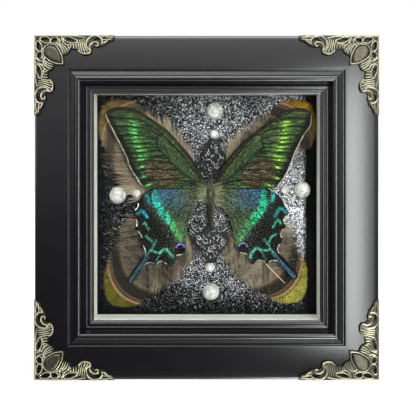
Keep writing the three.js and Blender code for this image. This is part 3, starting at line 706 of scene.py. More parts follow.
def make_castings():
    metal = antiqued_metal()
    whole = joined(casting_meshes(), "casting")
    flat = coordinates(whole)
    flat[:, 2] -= flat[:, 2].min()
    height = smooth_step(0.7, 1.55, flat[:, 2])
    right = flat[:, 0] / PIXEL - STONE_MIDDLE[0]
    inwards = flat[:, 1] / PIXEL - STONE_MIDDLE[1]
    on_stone = np.hypot(right, inwards) < stone_reach(np.arctan2(inwards, right)) * 1.02
    # The stone is painted darker at its rim and lighter towards its crest
    stone_tone = 0.1 + 0.36 * flat[:, 2] / (PLATE_THICKNESS + STONE_HEIGHT)
    height = np.where(on_stone, stone_tone, height)
    along = np.clip(flat[:, 0], 0.0, CASTING_REACH)
    inward = np.clip(flat[:, 1], 0.0, CASTING_REACH)
    depth = BACK_OF_CASTING - flat[:, 2] + band_depth(np.minimum(along, inward))
    depth = np.maximum(depth, CASTING_FRONT)
    for turns, corner in enumerate(("bottom_left", "top_left", "top_right", "bottom_right")):
        mesh = whole.copy()
        angle = turns * math.pi / 2
        x = (along - HALF) * math.cos(angle) + (inward - HALF) * math.sin(angle)
        z = -(along - HALF) * math.sin(angle) + (inward - HALF) * math.cos(angle)
        move_to(mesh, to_world(x, depth, z))
        keep_value(mesh, "height", height)
        bm = bmesh.new()
        bm.from_mesh(mesh)
        bmesh.ops.recalc_face_normals(bm, faces=bm.faces)
        bm.to_mesh(mesh)
        bm.free()
        node = f"corner_{corner}"
        add_piece(f"casting_{corner}", mesh, metal, node, sharp_angle=40)
    bpy.data.meshes.remove(whole)


# ---------------------------------------------------------------- wings

BODY_X = 2.1
WING_DEPTH = 19.2
FORE_RISE = 0.045
HIND_RISE = 0.025
HIND_BEHIND = 1.1
CELL = 0.5  # spacing of the wing meshes, in photograph pixels
MEMBRANE = 0.15
VEIN_RISE = 0.22
SAG = 0.25
# Middle of the insect, and of the rows of dashes, in photograph pixels
MIDDLE_PX = 209
MIDDLE_PY = 147

LEFT_FORE = {
    "outline": [
        (204, 187), (202, 178), (200, 170), (195, 163), (190, 155), (183, 147), (176, 139), (169, 131),
        (162, 126), (155, 121), (148, 116), (141, 112), (133, 108.5), (124, 106.8), (115, 107.5),
        (109, 109.6), (106, 113), (106, 117), (108, 121), (111, 127), (114.5, 134), (118, 140.5),
        (121.5, 147), (125, 154), (127, 158), (128, 163), (130.5, 168.5), (133, 173), (136.5, 178),
        (139.5, 183), (143, 186.5), (148, 188.5), (165, 189), (185, 189), (204, 188.5),
    ],
    "costa": [
        (202, 178), (195, 163), (183, 147), (169, 131), (155, 121), (141, 112), (124, 106.8),
        (108, 110),
    ],
    "termen": [(106.5, 118), (111, 127), (118, 140.5), (125, 154), (128, 163), (133, 173), (140, 184)],
    "veins": [
        [
            (203, 184), (190, 165), (176, 148), (164, 136), (156, 130), (143, 121), (130, 118.5),
            (109, 118),
        ],
        [(164, 136), (157.5, 134), (150, 130), (133, 126.5), (112, 126.5)],
        [(157, 138), (150, 137.5), (140, 135), (118, 135)],
        [(157.5, 143), (152, 144.5), (140, 143.5), (122, 144)],
        [(158, 147), (150, 146.8), (140, 148), (125, 149)],
        [(161, 150.5), (150, 152), (140, 152.5), (127, 153.5)],
        [(165, 156), (150, 157.2), (133, 157.5)],
        [(172, 163), (160, 161.5), (148, 160), (133, 163)],
        [(180, 169.5), (165, 169.5), (147, 169), (134, 173)],
        [(203, 186.5), (185, 181), (165, 179.5), (146, 180.5)],
    ],
    "cell": [
        (203, 185), (190, 178), (178, 169), (168, 158), (162, 152), (158, 147), (157, 141),
        (159, 135.5), (164, 133),
    ],
    "dashes": [
        (133, 121.5), (134, 125), (133, 129.5), (134, 133), (136, 137.5), (137, 141.5), (138, 146.5),
        (140, 150.5), (141, 156), (141, 159.5), (142, 167), (143, 177), (148, 185),
    ],
    "patch": [
        (146, 162), (158, 158), (168, 162), (177, 170), (179, 177), (174, 185), (160, 187), (149, 184),
        (144, 173),
    ],
    "dash_colour": ("#27702c", "#6fc466"),
    "fringe": "#b9b7ae",
    "root": (204, 187),
    "slope": 1,
}
RIGHT_FORE = {
    "outline": [
        (215, 187), (216, 182), (218, 176), (221, 169), (226, 161), (231, 155), (237, 148), (243, 142),
        (250, 136), (256, 131), (262, 126), (269, 121), (277, 116), (285, 111.5), (292, 108.5),
        (299, 107.8), (306, 109), (310, 111.5), (311.5, 116), (311.5, 122), (310, 127), (307, 131),
        (304, 135.5), (301.5, 140), (299, 145), (296.5, 149.5), (294.5, 154), (292.5, 159.5),
        (290.5, 165), (288.5, 170), (286, 174.5), (283.5, 179), (280.5, 183), (277, 186), (272, 188),
        (255, 189), (235, 189), (215, 189),
    ],
    "costa": [
        (216, 182), (226, 161), (237, 148), (250, 136), (262, 126), (277, 116), (292, 108.5),
        (307, 109.5),
    ],
    "termen": [
        (311.5, 119), (307, 131), (301.5, 140), (296.5, 149.5), (292.5, 159.5), (288.5, 170),
        (280.5, 183),
    ],
    "veins": [
        [
            (216, 184), (229, 165), (243, 148), (254, 136), (262, 130), (275, 121), (288, 118.5),
            (309, 118),
        ],
        [(254, 136), (261, 134), (269, 130), (285, 126.5), (308, 126.5)],
        [(262, 138), (269, 137), (279, 135), (303, 134.5)],
        [(262, 143), (268, 144), (279, 143), (298, 143)],
        [(262, 147), (269, 147), (279, 148), (296, 148.5)],
        [(259, 150.5), (270, 152), (280, 152.5), (294, 153)],
        [(255, 156), (269, 157.2), (286, 158), (292, 158)],
        [(248, 163), (260, 161.5), (272, 161), (288, 163)],
        [(240, 169.5), (255, 169.5), (273, 169), (286, 173)],
        [(216, 186.5), (235, 181), (255, 179.5), (274, 180.5)],
    ],
    "cell": [
        (216, 185), (229, 178), (240, 169), (251, 158), (257, 152), (262, 148), (263, 142), (261, 136),
        (256, 133),
    ],
    "dashes": [
        (286, 122), (285, 125.5), (285, 130), (285, 133.5), (284, 138), (283, 142), (281, 147),
        (280, 150.5), (279, 156.5), (279, 160), (278, 167.5), (277, 178), (270, 185.5),
    ],
    "patch": [
        (273, 162), (262, 158), (252, 162), (243, 170), (241, 177), (246, 185), (260, 187), (271, 184),
        (276, 173),
    ],
    "dash_colour": ("#4c781c", "#9ecb50"),
    "fringe": "#a5a093",
    "root": (215, 187),
    "slope": -1,
}
LEFT_HIND = {
    "outline": [
        (204, 188), (190, 180), (170, 178), (156, 181), (152, 188), (146, 191), (141, 197), (138, 203),
        (137.5, 207), (133.5, 211.5), (134, 216), (136.5, 221), (136, 225), (135, 228), (138, 231.5),
        (141, 236), (141, 241), (143, 246), (145, 251), (144, 255), (140, 261), (136, 266), (131, 273),
        (128, 278), (127, 281), (129, 283.5), (132, 283), (134.5, 280), (138, 275), (142, 268.5),
        (145, 265), (149, 262.8), (153, 263.4), (155, 265.5), (157, 264), (161, 261.2), (166, 264),
        (168, 266), (171, 266.5), (174, 264), (176, 260), (176.5, 256), (180, 255), (184, 254),
        (185.5, 250), (186, 244), (187, 238), (187, 230), (189, 222), (191.5, 214), (195, 206),
        (198, 201), (202, 196),
    ],
    "veins": [
        [(200, 190), (176, 196), (160, 198), (140, 205)],
        [(176, 196), (160, 207), (138, 219)],
        [(176, 196), (166, 209), (158, 219), (141, 236)],
        [(166, 209), (163, 225), (158, 240), (150, 256), (130, 281)],
        [(198, 193), (182, 208), (172, 220), (166, 240), (161, 261)],
        [(182, 208), (176, 228), (172, 245), (176, 258)],
    ],
    "band": [
        (154.5, 192), (155, 199), (156.5, 204), (160, 209), (163, 214), (168, 220), (172, 225),
        (175, 231),
        (178, 236), (180, 240),
    ],
    "band_cuts": [(151, 200.5), (158, 219), (168, 223.5)],
    "band_colours": ["#2a8478", "#2cac9c", "#2fa583", "#4a9c5c", "#4a7f42"],
    "marks": [
        ([(146, 196), (148.5, 199), (149, 203)], 2.2, "#267f90"),
        ([(138, 213.5), (142, 211), (145, 214), (147, 217)], 1.9, "#267d93"),
        ([(143, 224), (145, 223), (147, 227), (149, 229)], 1.3, "#3d7f69"),
        ([(146, 236), (149, 239), (152.5, 241.5), (154, 246)], 1.3, "#3b7a65"),
        ([(156.5, 240), (153.5, 246), (151, 250), (146, 255)], 1.3, "#33705f"),
        ([(151, 250), (155, 252), (160, 253)], 1.3, "#438f75"),
        ([(160, 253), (158.5, 257), (156, 261)], 1.0, "#2e6454"),
        ([(160, 253), (163, 250), (166, 249), (169, 252.5), (173, 257)], 1.6, "#489c82"),
    ],
    "tail": [(150, 254), (143, 263), (137, 271), (130, 281)],
    "tail_colour": "#2b4654",
    "eye": (180.5, 248.5),
    "fringes": [
        [(138.2, 203.5), (137.6, 207), (135, 210)], [(135.5, 219), (137, 222), (136.6, 226)],
        [(138, 231.5), (140.6, 234.5), (141.6, 237)], [(142.6, 245.5), (144.6, 249), (145, 252.5)],
        [(145.5, 264.6), (149, 262.8), (153, 263.6)], [(157.5, 263.4), (161, 261.4), (166, 264)],
        [(177, 255.6), (180, 255), (183, 254.8)],
    ],
    "base": (204, 190),
}
RIGHT_HIND = {
    "outline": [
        (214, 188), (230, 180), (250, 178), (264, 181), (268, 188), (272, 191), (277, 194), (281, 198),
        (283.5, 203), (285, 207), (288.5, 211.5), (288.5, 214), (285, 217.5), (284, 221), (286, 224.5),
        (285.5, 227.5), (281.5, 231), (280.5, 234), (282.5, 238.5), (281.5, 242.5), (278.5, 246.5),
        (278, 250), (279.5, 253), (284, 258), (289, 263), (294, 268), (297, 272.5), (298, 276),
        (296.5, 279), (293, 279.5), (289.5, 276.5), (285.5, 271.5), (281.5, 266.5), (278, 262.8),
        (275, 260.8), (272, 260.6), (269, 262.5), (267, 263.5), (264, 261.6), (260, 260), (257, 261),
        (254.5, 263.6), (252, 263.8), (250, 261.5), (249, 258), (247.5, 255), (243, 253.2),
        (239, 252.5), (236.5, 249), (235, 244), (234.5, 238), (233, 230), (230, 222), (226, 213),
        (221, 206), (217, 201), (214.5, 197),
    ],
    "veins": [
        [(218, 190), (243, 196), (260, 198), (285, 206)],
        [(243, 196), (262, 207), (285, 220)],
        [(243, 196), (256, 209), (264, 220), (281, 235)],
        [(256, 209), (259, 225), (265, 240), (274, 254), (294, 276)],
        [(218, 193), (238, 208), (250, 220), (256, 240), (262, 260)],
        [(238, 208), (245, 228), (249, 245), (247, 256)],
    ],
    "band": [
        (264, 191), (263.5, 198), (264, 204), (260, 212), (255, 218), (250, 224), (246, 230),
        (243, 235), (240.5, 240),
    ],
    "band_cuts": [(268, 200.5), (262, 217), (252, 225)],
    "band_colours": ["#1f8266", "#22ab80", "#2ba06c", "#48935a", "#447a40"],
    "marks": [
        ([(273, 193), (273.5, 196.5), (272, 201)], 2.2, "#248380"),
        ([(286, 212.5), (281, 208.5), (278, 211), (275, 216)], 1.9, "#237c80"),
        ([(281, 224), (278, 220), (275, 223), (273, 227)], 1.3, "#37866c"),
        ([(276, 234), (272, 236.5), (270, 240), (268, 244)], 1.3, "#37866c"),
        ([(264, 239), (268, 244), (270.5, 249), (275, 254)], 1.3, "#337b66"),
        ([(270, 249), (266, 250.5), (261, 250)], 1.3, "#438f75"),
        ([(261, 250), (263, 255), (266, 260)], 1.0, "#2e6454"),
        ([(261, 250), (257, 248), (254, 250), (251.5, 253.5), (250.5, 257.5)], 1.6, "#489c82"),
    ],
    "tail": [(271, 251), (278, 259), (286, 268), (294, 276.5)],
    "tail_colour": "#2d566c",
    "eye": (243, 247.5),
    "fringes": [
        [(285.6, 216.5), (284, 220), (285, 223.5)], [(282.5, 230), (280.8, 233.5), (281.6, 237)],
        [(279.4, 245), (278, 249), (279, 252.5)], [(276.5, 261.3), (272.5, 260.5), (269, 262.5)],
        [(264.5, 261.8), (260, 260.2), (257, 261.2)], [(246.5, 254.2), (243.5, 253.3), (240.5, 253)],
    ],
    "base": (214, 190),
}


def wing_places(px, py, base_depth, rise):
    """Pixels of the photograph to x, depth and z on a wing that rises from the body."""
    depth = np.full(px.shape, base_depth)
    for _ in range(3):
        x, z = seen(px, py, depth)
        depth = base_depth - rise * np.abs(x - BODY_X)
    return x, depth, z


def wing_mesh(name, outline):
    """A fine sheet cut to the outline, still in pixels: x right and minus y up."""
    outline = [tuple(p) for p in smooth_line(outline, 4, True)]
    xs, ys = np.array(outline).T
    wide, high = xs.max() - xs.min() + 2 * CELL, ys.max() - ys.min() + 2 * CELL
    bm = bmesh.new()
    bmesh.ops.create_grid(bm, x_segments=int(wide / CELL), y_segments=int(high / CELL), size=0.5)
    bmesh.ops.scale(bm, verts=bm.verts, vec=(wide, high, 1))
    middle = ((xs.max() + xs.min()) / 2, -(ys.max() + ys.min()) / 2, 0)
    bmesh.ops.translate(bm, verts=bm.verts, vec=middle)
    bm.verts.index_update()
    flat = np.array([v.co.xy for v in bm.verts])
    px, py = flat[:, 0], -flat[:, 1]
    within = inside(outline, px, py)
    gap, spot = nearest_on(outline, px, py)
    kept = within | (gap < CELL * 0.62)
    outside = [f for f in bm.faces if not all(kept[v.index] for v in f.verts)]
    snap = kept & (~within | (gap < CELL * 0.3))
    for vert in bm.verts:
        if snap[vert.index]:
            vert.co.x, vert.co.y = spot[vert.index][0], -spot[vert.index][1]
    bmesh.ops.delete(bm, geom=outside, context="FACES")
    return to_mesh(bm, name), outline


def speckle(count, seed):
    """Hard noise, one value to a vertex, from 0 to 1."""
    return np.random.default_rng(seed).random(count)


def streaks(x, y, stretch_x, stretch_y, seed):
    """Soft noise drawn out along x or y, from 0 to 1."""
    values = [noise.noise(Vector((a / stretch_x, b / stretch_y, seed))) for a, b in zip(x, y)]
    return np.array(values) * 0.5 + 0.5


def paint_forewing(x, y, wing, outline, seed):
    """Colours and gleam of a forewing, at pixels of the photograph."""
    edge, _ = distance_to(outline + outline[:1], x, y)
    from_costa, _ = distance_to(wing["costa"], x, y)
    from_termen, _ = distance_to(wing["termen"], x, y)
    from_cell, _ = distance_to(smooth_line(wing["cell"], 4), x, y)
    veins = [distance_to(smooth_line(vein, 4), x, y)[0] for vein in wing["veins"]]
    from_vein = np.minimum.reduce(veins + [from_cell])
    grain = speckle(len(x), seed)
    # Rows of scales run along the veins, and towards the root inside the cell
    root_x, root_y = wing["root"]
    spread = np.arctan2(y - root_y, np.abs(x - root_x)) * 75
    within = inside([tuple(p) for p in wing["cell"]] + [wing["root"]], x, y)
    rows = streaks(x, y, 14, 1.0, seed)
    fan = streaks(np.hypot(x - root_x, y - root_y), spread, 12, 1.0, seed + 3)
    lines = np.where(within, fan, rows)
    colour = plain("#0b100a", len(x))
    colour = lay(colour, "#425a34", 0.14 + 0.8 * smooth_step(0.3, 0.72, lines))
    # Olive towards the tip and the leading edge
    olive = 0.5 * smooth_step(22, 4, from_costa)
    colour = lay(colour, "#3e3f28", olive * (0.4 + 0.4 * grain))
    # Brown hair patch between the cell and the rear edge
    patch = [tuple(p) for p in wing["patch"]]
    patch_gap, _ = nearest_on(patch, x, y)
    in_patch = smooth_step(-3.5, 3.0, np.where(inside(patch, x, y), patch_gap, -patch_gap))
    brown = streaks(x, y, 9, 0.9, seed + 7)
    colour = lay(colour, "#271f13", in_patch * 0.95)
    hairs = smooth_step(0.46, 0.7, brown) * (0.5 + 0.4 * grain)
    colour = lay(colour, "#77694a", in_patch * hairs)
    # Black margin, and dark veins
    colour = lay(colour, "#0b0b08", smooth_step(8.5, 2.5, from_termen) * 0.9)
    colour = lay(colour, "#0a0a07", smooth_step(1.1, 0.35, from_vein) * 0.8)
    colour = lay(colour, "#1e1a12", smooth_step(4.4, 1.8, from_costa) * 0.85)
    rim = smooth_step(1.6, 0.6, edge) * smooth_step(3, 6, from_termen)
    colour = lay(colour, "#15120b", rim * 0.8)
    # Bright dashes in pairs between the veins
    gleam = 0.25 * (1 - in_patch) * smooth_step(2, 7, from_termen)
    for i, (cx, cy) in enumerate(wing["dashes"]):
        lean = (MIDDLE_PY - cy) * 0.008 * wing["slope"]
        across = y - cy - (x - cx) * lean
        along = (x - cx) / (6.5 if cy < 165 else 4.5)
        glow = np.exp(-((across / 1.15) ** 2) - along**2)
        core = np.exp(-((across / 0.85) ** 2) - (along * 1.7) ** 2)
        colour = lay(colour, wing["dash_colour"][0], glow * 0.95)
        colour = lay(colour, wing["dash_colour"][1], core * (0.55 + 0.4 * grain))
        gleam = np.maximum(gleam, core * 0.7)
    fringe = smooth_step(1.0, 0.5, edge) * smooth_step(4.5, 2.5, from_termen)
    colour = lay(colour, wing["fringe"], fringe)
    return colour, gleam, from_vein


def paint_hindwing(x, y, wing, seed):
    """Colours and gleam of a hindwing, at pixels of the photograph."""
    grain = speckle(len(x), seed)
    veins = [distance_to(smooth_line(vein, 4), x, y)[0] for vein in wing["veins"]]
    from_vein = np.minimum.reduce(veins)
    band = smooth_line(wing["band"], 4)
    from_band, share = distance_to(band, x, y)
    base_x, base_y = wing["base"]
    reach = np.hypot(x - base_x, y - base_y)
    # Which side of the band: positive towards the root
    band_x = np.interp(y, [p[1] for p in band], [p[0] for p in band])
    inner = (x - band_x) * (1 if base_x < MIDDLE_PX else -1)
    colour = plain("#0a0a09", len(x))
    flecks = streaks(x, y, 1.3, 1.3, seed + 5)
    near_band = smooth_step(19, 8, np.abs(inner))
    colour = lay(colour, "#555e50", smooth_step(0.5, 0.74, flecks) * 0.9 * near_band)
    rooted = smooth_step(-1, 5, inner)
    fan = np.arctan2(y - base_y, np.abs(x - base_x)) * 60
    fanned = streaks(reach, fan, 10, 1.0, seed + 8)
    colour = lay(colour, "#3d4a33", rooted * (0.35 + 0.55 * smooth_step(0.35, 0.65, fanned)))
    blue = rooted * smooth_step(217, 197, y) * smooth_step(11, 27, reach)
    colour = lay(colour, "#31526f", blue * (0.5 + 0.4 * smooth_step(0.3, 0.6, fanned)))
    green = rooted * smooth_step(205, 232, y) * smooth_step(26, 6, inner)
    colour = lay(colour, "#3f5a33", green * (0.3 + 0.5 * grain))
    olive = rooted * smooth_step(40, 14, reach)
    colour = lay(colour, "#4a4e36", olive * (0.35 + 0.5 * grain))
    # Bright band, cut by the veins, from blue-green to green
    half = np.interp(share, [0, 0.2, 0.45, 0.75, 1.0], [3.2, 5.2, 5.6, 4.2, 3.2])
    ragged = half + 1.6 * (streaks(x, y, 2.2, 2.2, seed) - 0.5)
    on_band = smooth_step(1.3, 0.25, from_band / ragged)
    on_band *= 0.72 + 0.28 * smooth_step(0.35, 0.55, streaks(x, y, 9, 0.8, seed + 2))
    cut = np.minimum.reduce(veins[1:])
    on_band *= 1 - 0.65 * smooth_step(0.9, 0.3, cut)
    stops = np.linspace(0, 1, len(wing["band_colours"]))
    tints = np.array([rgb(code) for code in wing["band_colours"]])
    shine = np.stack([np.interp(share, stops, tints[:, k]) for k in range(3)], axis=-1)
    shine *= (0.72 + 0.42 * grain)[:, None]
    colour += (shine - colour) * np.clip(on_band, 0, 1)[:, None]
    gleam = on_band * 0.75 + rooted * 0.25 * (1 - on_band)
    # Crescents and chevrons near the edge
    for points, width, code in wing["marks"]:
        gap, _ = distance_to(smooth_line(points, 4), x, y)
        halo = smooth_step(2.2, 0.4, gap / width)
        colour = lay(colour, "#16332d", halo * 0.6)
        mark = smooth_step(1.5, 0.1, gap / width) * (0.7 + 0.3 * grain)
        colour = lay(colour, code, mark)
        gleam = np.maximum(gleam, mark * 0.6)
    gap, along = distance_to(wing["tail"], x, y)
    tail = smooth_step(2.4, 1.2, gap) * smooth_step(0.0, 0.12, along)
    colour = lay(colour, wing["tail_colour"], tail * (0.7 + 0.3 * grain))
    colour = lay(colour, "#10100e", smooth_step(0.9, 0.2, from_vein) * 0.3 * rooted)
    # Eye-spot at the rear corner: black pupil under a violet arc
    eye_x, eye_y = wing["eye"]
    around = np.hypot(x - eye_x, y - eye_y)
    colour = lay(colour, "#07070a", smooth_step(6.2, 5.0, around))
    arc = smooth_step(1.3, 0.4, np.abs(around - 4.4)) * smooth_step(eye_y + 0.5, eye_y - 1.5, y)
    colour = lay(colour, "#7564b0", arc * 0.95)
    # Pale hairs of the fringe in the scallops
    for line in wing["fringes"]:
        gap, _ = distance_to(smooth_line(line, 4), x, y)
        colour = lay(colour, "#d2cbbb", smooth_step(0.9, 0.4, gap))
    return colour, gleam, from_vein


def make_wings():
    fore = wing_scales("forewing_scales", 0.5)
    hind = wing_scales("hindwing_scales", 0.6)
    hind_depth = WING_DEPTH + HIND_BEHIND
    wings = [
        ("left", "forewing", LEFT_FORE, WING_DEPTH, FORE_RISE, fore),
        ("right", "forewing", RIGHT_FORE, WING_DEPTH, FORE_RISE, fore),
        ("left", "hindwing", LEFT_HIND, hind_depth, HIND_RISE, hind),
        ("right", "hindwing", RIGHT_HIND, hind_depth, HIND_RISE, hind),
    ]
    for seed, (side, slot, wing, depth, rise, material) in enumerate(wings):
        name = f"{side}_{slot}"
        mesh, outline = wing_mesh(name, wing["outline"])
        flat = coordinates(mesh)
        px, py = flat[:, 0], -flat[:, 1]
        if slot == "forewing":
            colour, gleam, from_vein = paint_forewing(px, py, wing, outline, seed + 11)
        else:
            colour, gleam, from_vein = paint_hindwing(px, py, wing, seed + 11)
        x, y, z = wing_places(px, py, depth, rise)
        # Veins stand proud, and the membrane sags a little between them
        y = y - VEIN_RISE * np.exp(-((from_vein / 0.9) ** 2)) + SAG * smooth_step(1, 7, from_vein)
        move_to(mesh, to_world(x, y, z))
        paint(mesh, colour)
        keep_value(mesh, "gleam", gleam)
        piece = add_piece(name, mesh, material, f"{slot}_{side}")
        wall = piece.modifiers.new("membrane", "SOLIDIFY")
        wall.thickness = MEMBRANE * MM
        wall.offset = -1


# ---------------------------------------------------------------- feathers

# Feather outline as distance from the middle of the frame and half width, on each side of the
# shaft; the wide side lies beside the wings.
NARROW_VANE = [
    (12, 1), (21, 12), (32, 16.8), (43, 17.7), (54, 17.7), (62, 15.5), (70, 14.1), (76.8, 13),
    (79.5, 11.7), (82.2, 9.8), (85, 7), (87.3, 3.7), (88.5, 1.6), (89, 0.2),
]
WIDE_VANE = [
    (12, 1), (24, 17), (32, 25), (40, 28.5), (48, 28.5), (57, 25.5), (66, 21.5), (72, 19.2),
    (78.1, 16.1), (81.5, 13), (84.6, 9.6), (87, 6), (88.4, 2.8), (89, 0.2),
]
FEATHER_TIP = 89.0
# For each corner: its side of the frame in x and z, size, width of the golden tip in mm, colours
# of the tip, how dark the band behind it is, lightness of the down, and how far the down spreads
# on the narrow and the wide side
FEATHERS = {
    "top_left": {
        "sides": (-1, 1), "size": 1.0, "gold_width": 6.0, "gold": "#80693a", "dark_gold": "#2c2412",
        "band": 0.5, "down_light": 1.9, "spread": (0.95, 1.0),
    },
    "top_right": {
        "sides": (1, 1), "size": 0.995, "gold_width": 6.5, "gold": "#b08018", "dark_gold": "#3e2e0c",
        "band": 0.7, "down_light": 0.95, "spread": (0.92, 0.56),
    },
    "bottom_left": {
        "sides": (-1, -1), "size": 0.955, "gold_width": 7.0, "gold": "#6c6614", "dark_gold": "#1e1c06",
        "band": 1.0, "down_light": 0.72, "spread": (1.0, 1.0),
    },
    "bottom_right": {
        "sides": (1, -1), "size": 0.918, "gold_width": 8.0, "gold": "#a8a340", "dark_gold": "#34320e",
        "band": 0.9, "down_light": 1.02, "spread": (1.05, 1.0),
    },
}
FEATHER_DEPTH = 25.1
BARBS = 760  # on each side of a shaft
DOWN_BARBS = 1300
# Places along the quill and its radius there; a bare one shows between BARE_FROM and BARE_TO
QUILL = [
    (26, 0.4), (38, 0.38), (50, 0.34), (56, 0.3), (59, 0.3), (71, 0.22), (74, 0.15), (86, 0.08),
]
BARE_FROM, BARE_TO = 58, 72
WALLS_X = (-68.0, 67.1)
WALLS_Z = (-66.9, 68.2)


def feather_tint(along, across, feather, tone):
    """Colour of a barb at its place: grey-brown down, dark band, tan line and golden tip."""
    light = feather["down_light"]
    colour = plain("#4f473c", len(along)) * light
    colour = lay(colour, "#9c8f78", smooth_step(0.5, 1.0, tone) * min(0.95 * light, 1))
    colour = lay(colour, "#1a1611", smooth_step(0.45, 0.1, tone) * 0.85)
    # How far past the inner edge of the golden crescent, in mm
    inner_edge = FEATHER_TIP * feather["size"] - feather["gold_width"]
    past = along - (inner_edge - 0.024 * across**2)
    vane = smooth_step(-26, -18, past) * smooth_step(46, 52, along)
    dark_band = smooth_step(-14, -9, past) * (0.45 + 0.5 * feather["band"])
    colour = lay(colour, "#191510", vane * dark_band)
    colour = lay(colour, "#75603f", vane * smooth_step(1.3, 0.3, np.abs(past + 12.5)) * 0.6)
    golden = vane * smooth_step(-0.4, 0.6, past)
    colour = lay(colour, feather["dark_gold"], golden)
    colour = lay(colour, feather["gold"], golden * smooth_step(0.3, 0.8, tone))
    colour = lay(colour, "#a07f58", vane * smooth_step(1.1, 0.4, np.abs(past + 1.2)) * 0.85)
    return lay(colour, "#8c6c48", vane * smooth_step(0.7, 0.2, np.abs(past + 3.6)) * 0.6)


def rim_places(vane, count):
    """Places along the rim of a vane, closer at the tip: distance from the middle and half width."""
    at, width = np.array(vane).T
    fine_at = np.linspace(26, at[-1], 400)
    fine_width = np.interp(fine_at, at, width)
    closer = mix(1.0, 2.0, smooth_step(70, 78, fine_at[1:]))
    travelled = np.r_[0, np.cumsum(np.hypot(np.diff(fine_at), np.diff(fine_width)) * closer)]
    wanted = (np.arange(count) + 0.5) / count * travelled[-1]
    return np.interp(wanted, travelled, fine_at), np.interp(wanted, travelled, fine_width)


def clumps(place, spread, seed):
    """Smooth random values along a feather, so that neighbouring barbs bend together."""
    return np.array([noise.noise(Vector((p / spread, seed * 3.7, s))) for p, s in place])


def on_card(feather, along, across, depth):
    """Places along and across a shaft as points over the card, kept inside the walls."""
    x = feather["sides"][0] * (along - across) / math.sqrt(2)
    z = feather["sides"][1] * (along + across) / math.sqrt(2)
    return to_world(np.clip(x, *WALLS_X), depth, np.clip(z, *WALLS_Z))


def feather_mesh(name, feather, seed):
    """Barbs on both sides of a shaft, downy at the root and fanning to a round golden tip."""
    rng = np.random.default_rng(seed)
    count = BARBS * 2
    mesh, strip, hand, t = ribbons(count, 18, name)
    hands = np.where(np.arange(count) % 2 == 0, 1.0, -1.0)
    rims, widths = [], []
    for vane, spread in zip((NARROW_VANE, WIDE_VANE), feather["spread"]):
        at, width = rim_places(vane, BARBS)
        rims.append(at)
        widths.append(width * mix(spread, 1.0, smooth_step(62, 72, at)))
    rims, widths = np.stack(rims, axis=1).ravel(), np.stack(widths, axis=1).ravel()
    tuft = clumps(zip(rims, hands), 3.2, seed)
    fine = clumps(zip(widths - rims, hands + 9), 1.1, seed)
    side, at = hands[strip], rims[strip]
    loose = smooth_step(74, 60, rims)
    down = loose[strip]
    jitter = (rng.normal(0, 0.7, count) + 1.6 * tuft)[strip]
    width = widths[strip] * (1 + 0.14 * jitter * down)
    # At the tip the barbs fan out from one place on the shaft
    root = np.maximum(np.minimum(at - width * 0.95, 70.0), 21.0)
    ragged = (rng.normal(0, 0.6, count) + 0.3 * fine)[strip]
    stray = rng.normal(0, 0.5, count)[strip] * (1 - down) * t
    wave = rng.random(count)[strip] * 6.28
    bend = (rng.normal(0, 0.55, count) + 3.2 * tuft + 1.5 * fine)[strip] * down
    along = root + (at + ragged * (1 - down) - root) * t + 2.2 * bend * t * t
    across = side * (width * t**0.85 + 1.2 * bend * t * (1 - t)) + stray
    along += 0.4 * down * np.sin(t * 9 + wave)
    across += 0.5 * down * np.sin(t * 7 + wave * 1.7) * t
    # Each barb is widened square to its own run
    run = np.hypot(at - root, width) + 1e-6
    thick = hand * mix(mix(0.12, 0.13, t), mix(0.2, 0.06, t), down)
    along += thick * width / run
    across -= thick * side * (at - root) / run
    lift = np.clip(0.5 + loose * (tuft + 0.8 * fine) + rng.normal(0, 0.25, count), 0, 1)[strip]
    depth = FEATHER_DEPTH - 0.15 - 2.0 * lift * t * (0.2 + 0.8 * down)
    along *= feather["size"]
    across *= feather["size"]
    # Tone is partly random and partly painted shade: barbs that stand higher off the card, as in tufts,
    # are painted lighter and low ones darker
    tone = mix(0.3, 0.45, down) * rng.random(count)[strip] + mix(0.45, 0.6, down) * lift
    tone = tone + 1.2 * (tuft * loose)[strip]
    tone = np.clip(tone + mix(0.6, 0.3, down) * (rng.random(len(t)) - 0.4), 0, 1)
    move_to(mesh, on_card(feather, along, across, depth))
    paint(mesh, feather_tint(along, across, feather, tone))
    return mesh


def down_mesh(name, feather, seed):
    """Loose fine down over the lower barbs."""
    rng = np.random.default_rng(seed)
    count = DOWN_BARBS
    mesh, strip, hand, t = ribbons(count, 7, name)
    hands = np.where(rng.random(count) < 0.42, 1.0, -1.0)
    roots = rng.uniform(30, 59, count)
    tuft = clumps(zip(roots, hands), 3.5, seed)
    side, at = hands[strip], roots[strip]
    narrow = np.interp(at, *np.array(NARROW_VANE).T) * feather["spread"][0]
    wide = np.interp(at, *np.array(WIDE_VANE).T) * feather["spread"][1]
    width = np.where(side > 0, narrow, wide)
    start = (rng.random(count) ** 0.6)[strip] * 0.8
    heading = (0.85 + 1.4 * tuft + rng.normal(0, 0.3, count))[strip]
    reach = rng.uniform(4, 8.5, count)[strip]
    curl = rng.normal(0, 0.8, count)[strip]
    turn = heading + curl * t
    along = at + reach * t * np.cos(turn) + hand * mix(0.1, 0.04, t)
    limit = width * 1.14
    across = np.clip(side * (width * start + reach * t * np.sin(turn)), -limit, limit)
    lift = rng.random(count)[strip]
    depth = FEATHER_DEPTH - 0.9 - 1.7 * lift
    move_to(mesh, on_card(feather, along * feather["size"], across * feather["size"], depth))
    tone = np.clip(0.5 * rng.random(count) + 0.4 + 1.3 * tuft, 0, 1)[strip]
    light = feather["down_light"]
    paint(mesh, lay(plain("#332c24", len(t)) * light, "#857a66", smooth_step(0.35, 1.0, tone) * light))
    return mesh


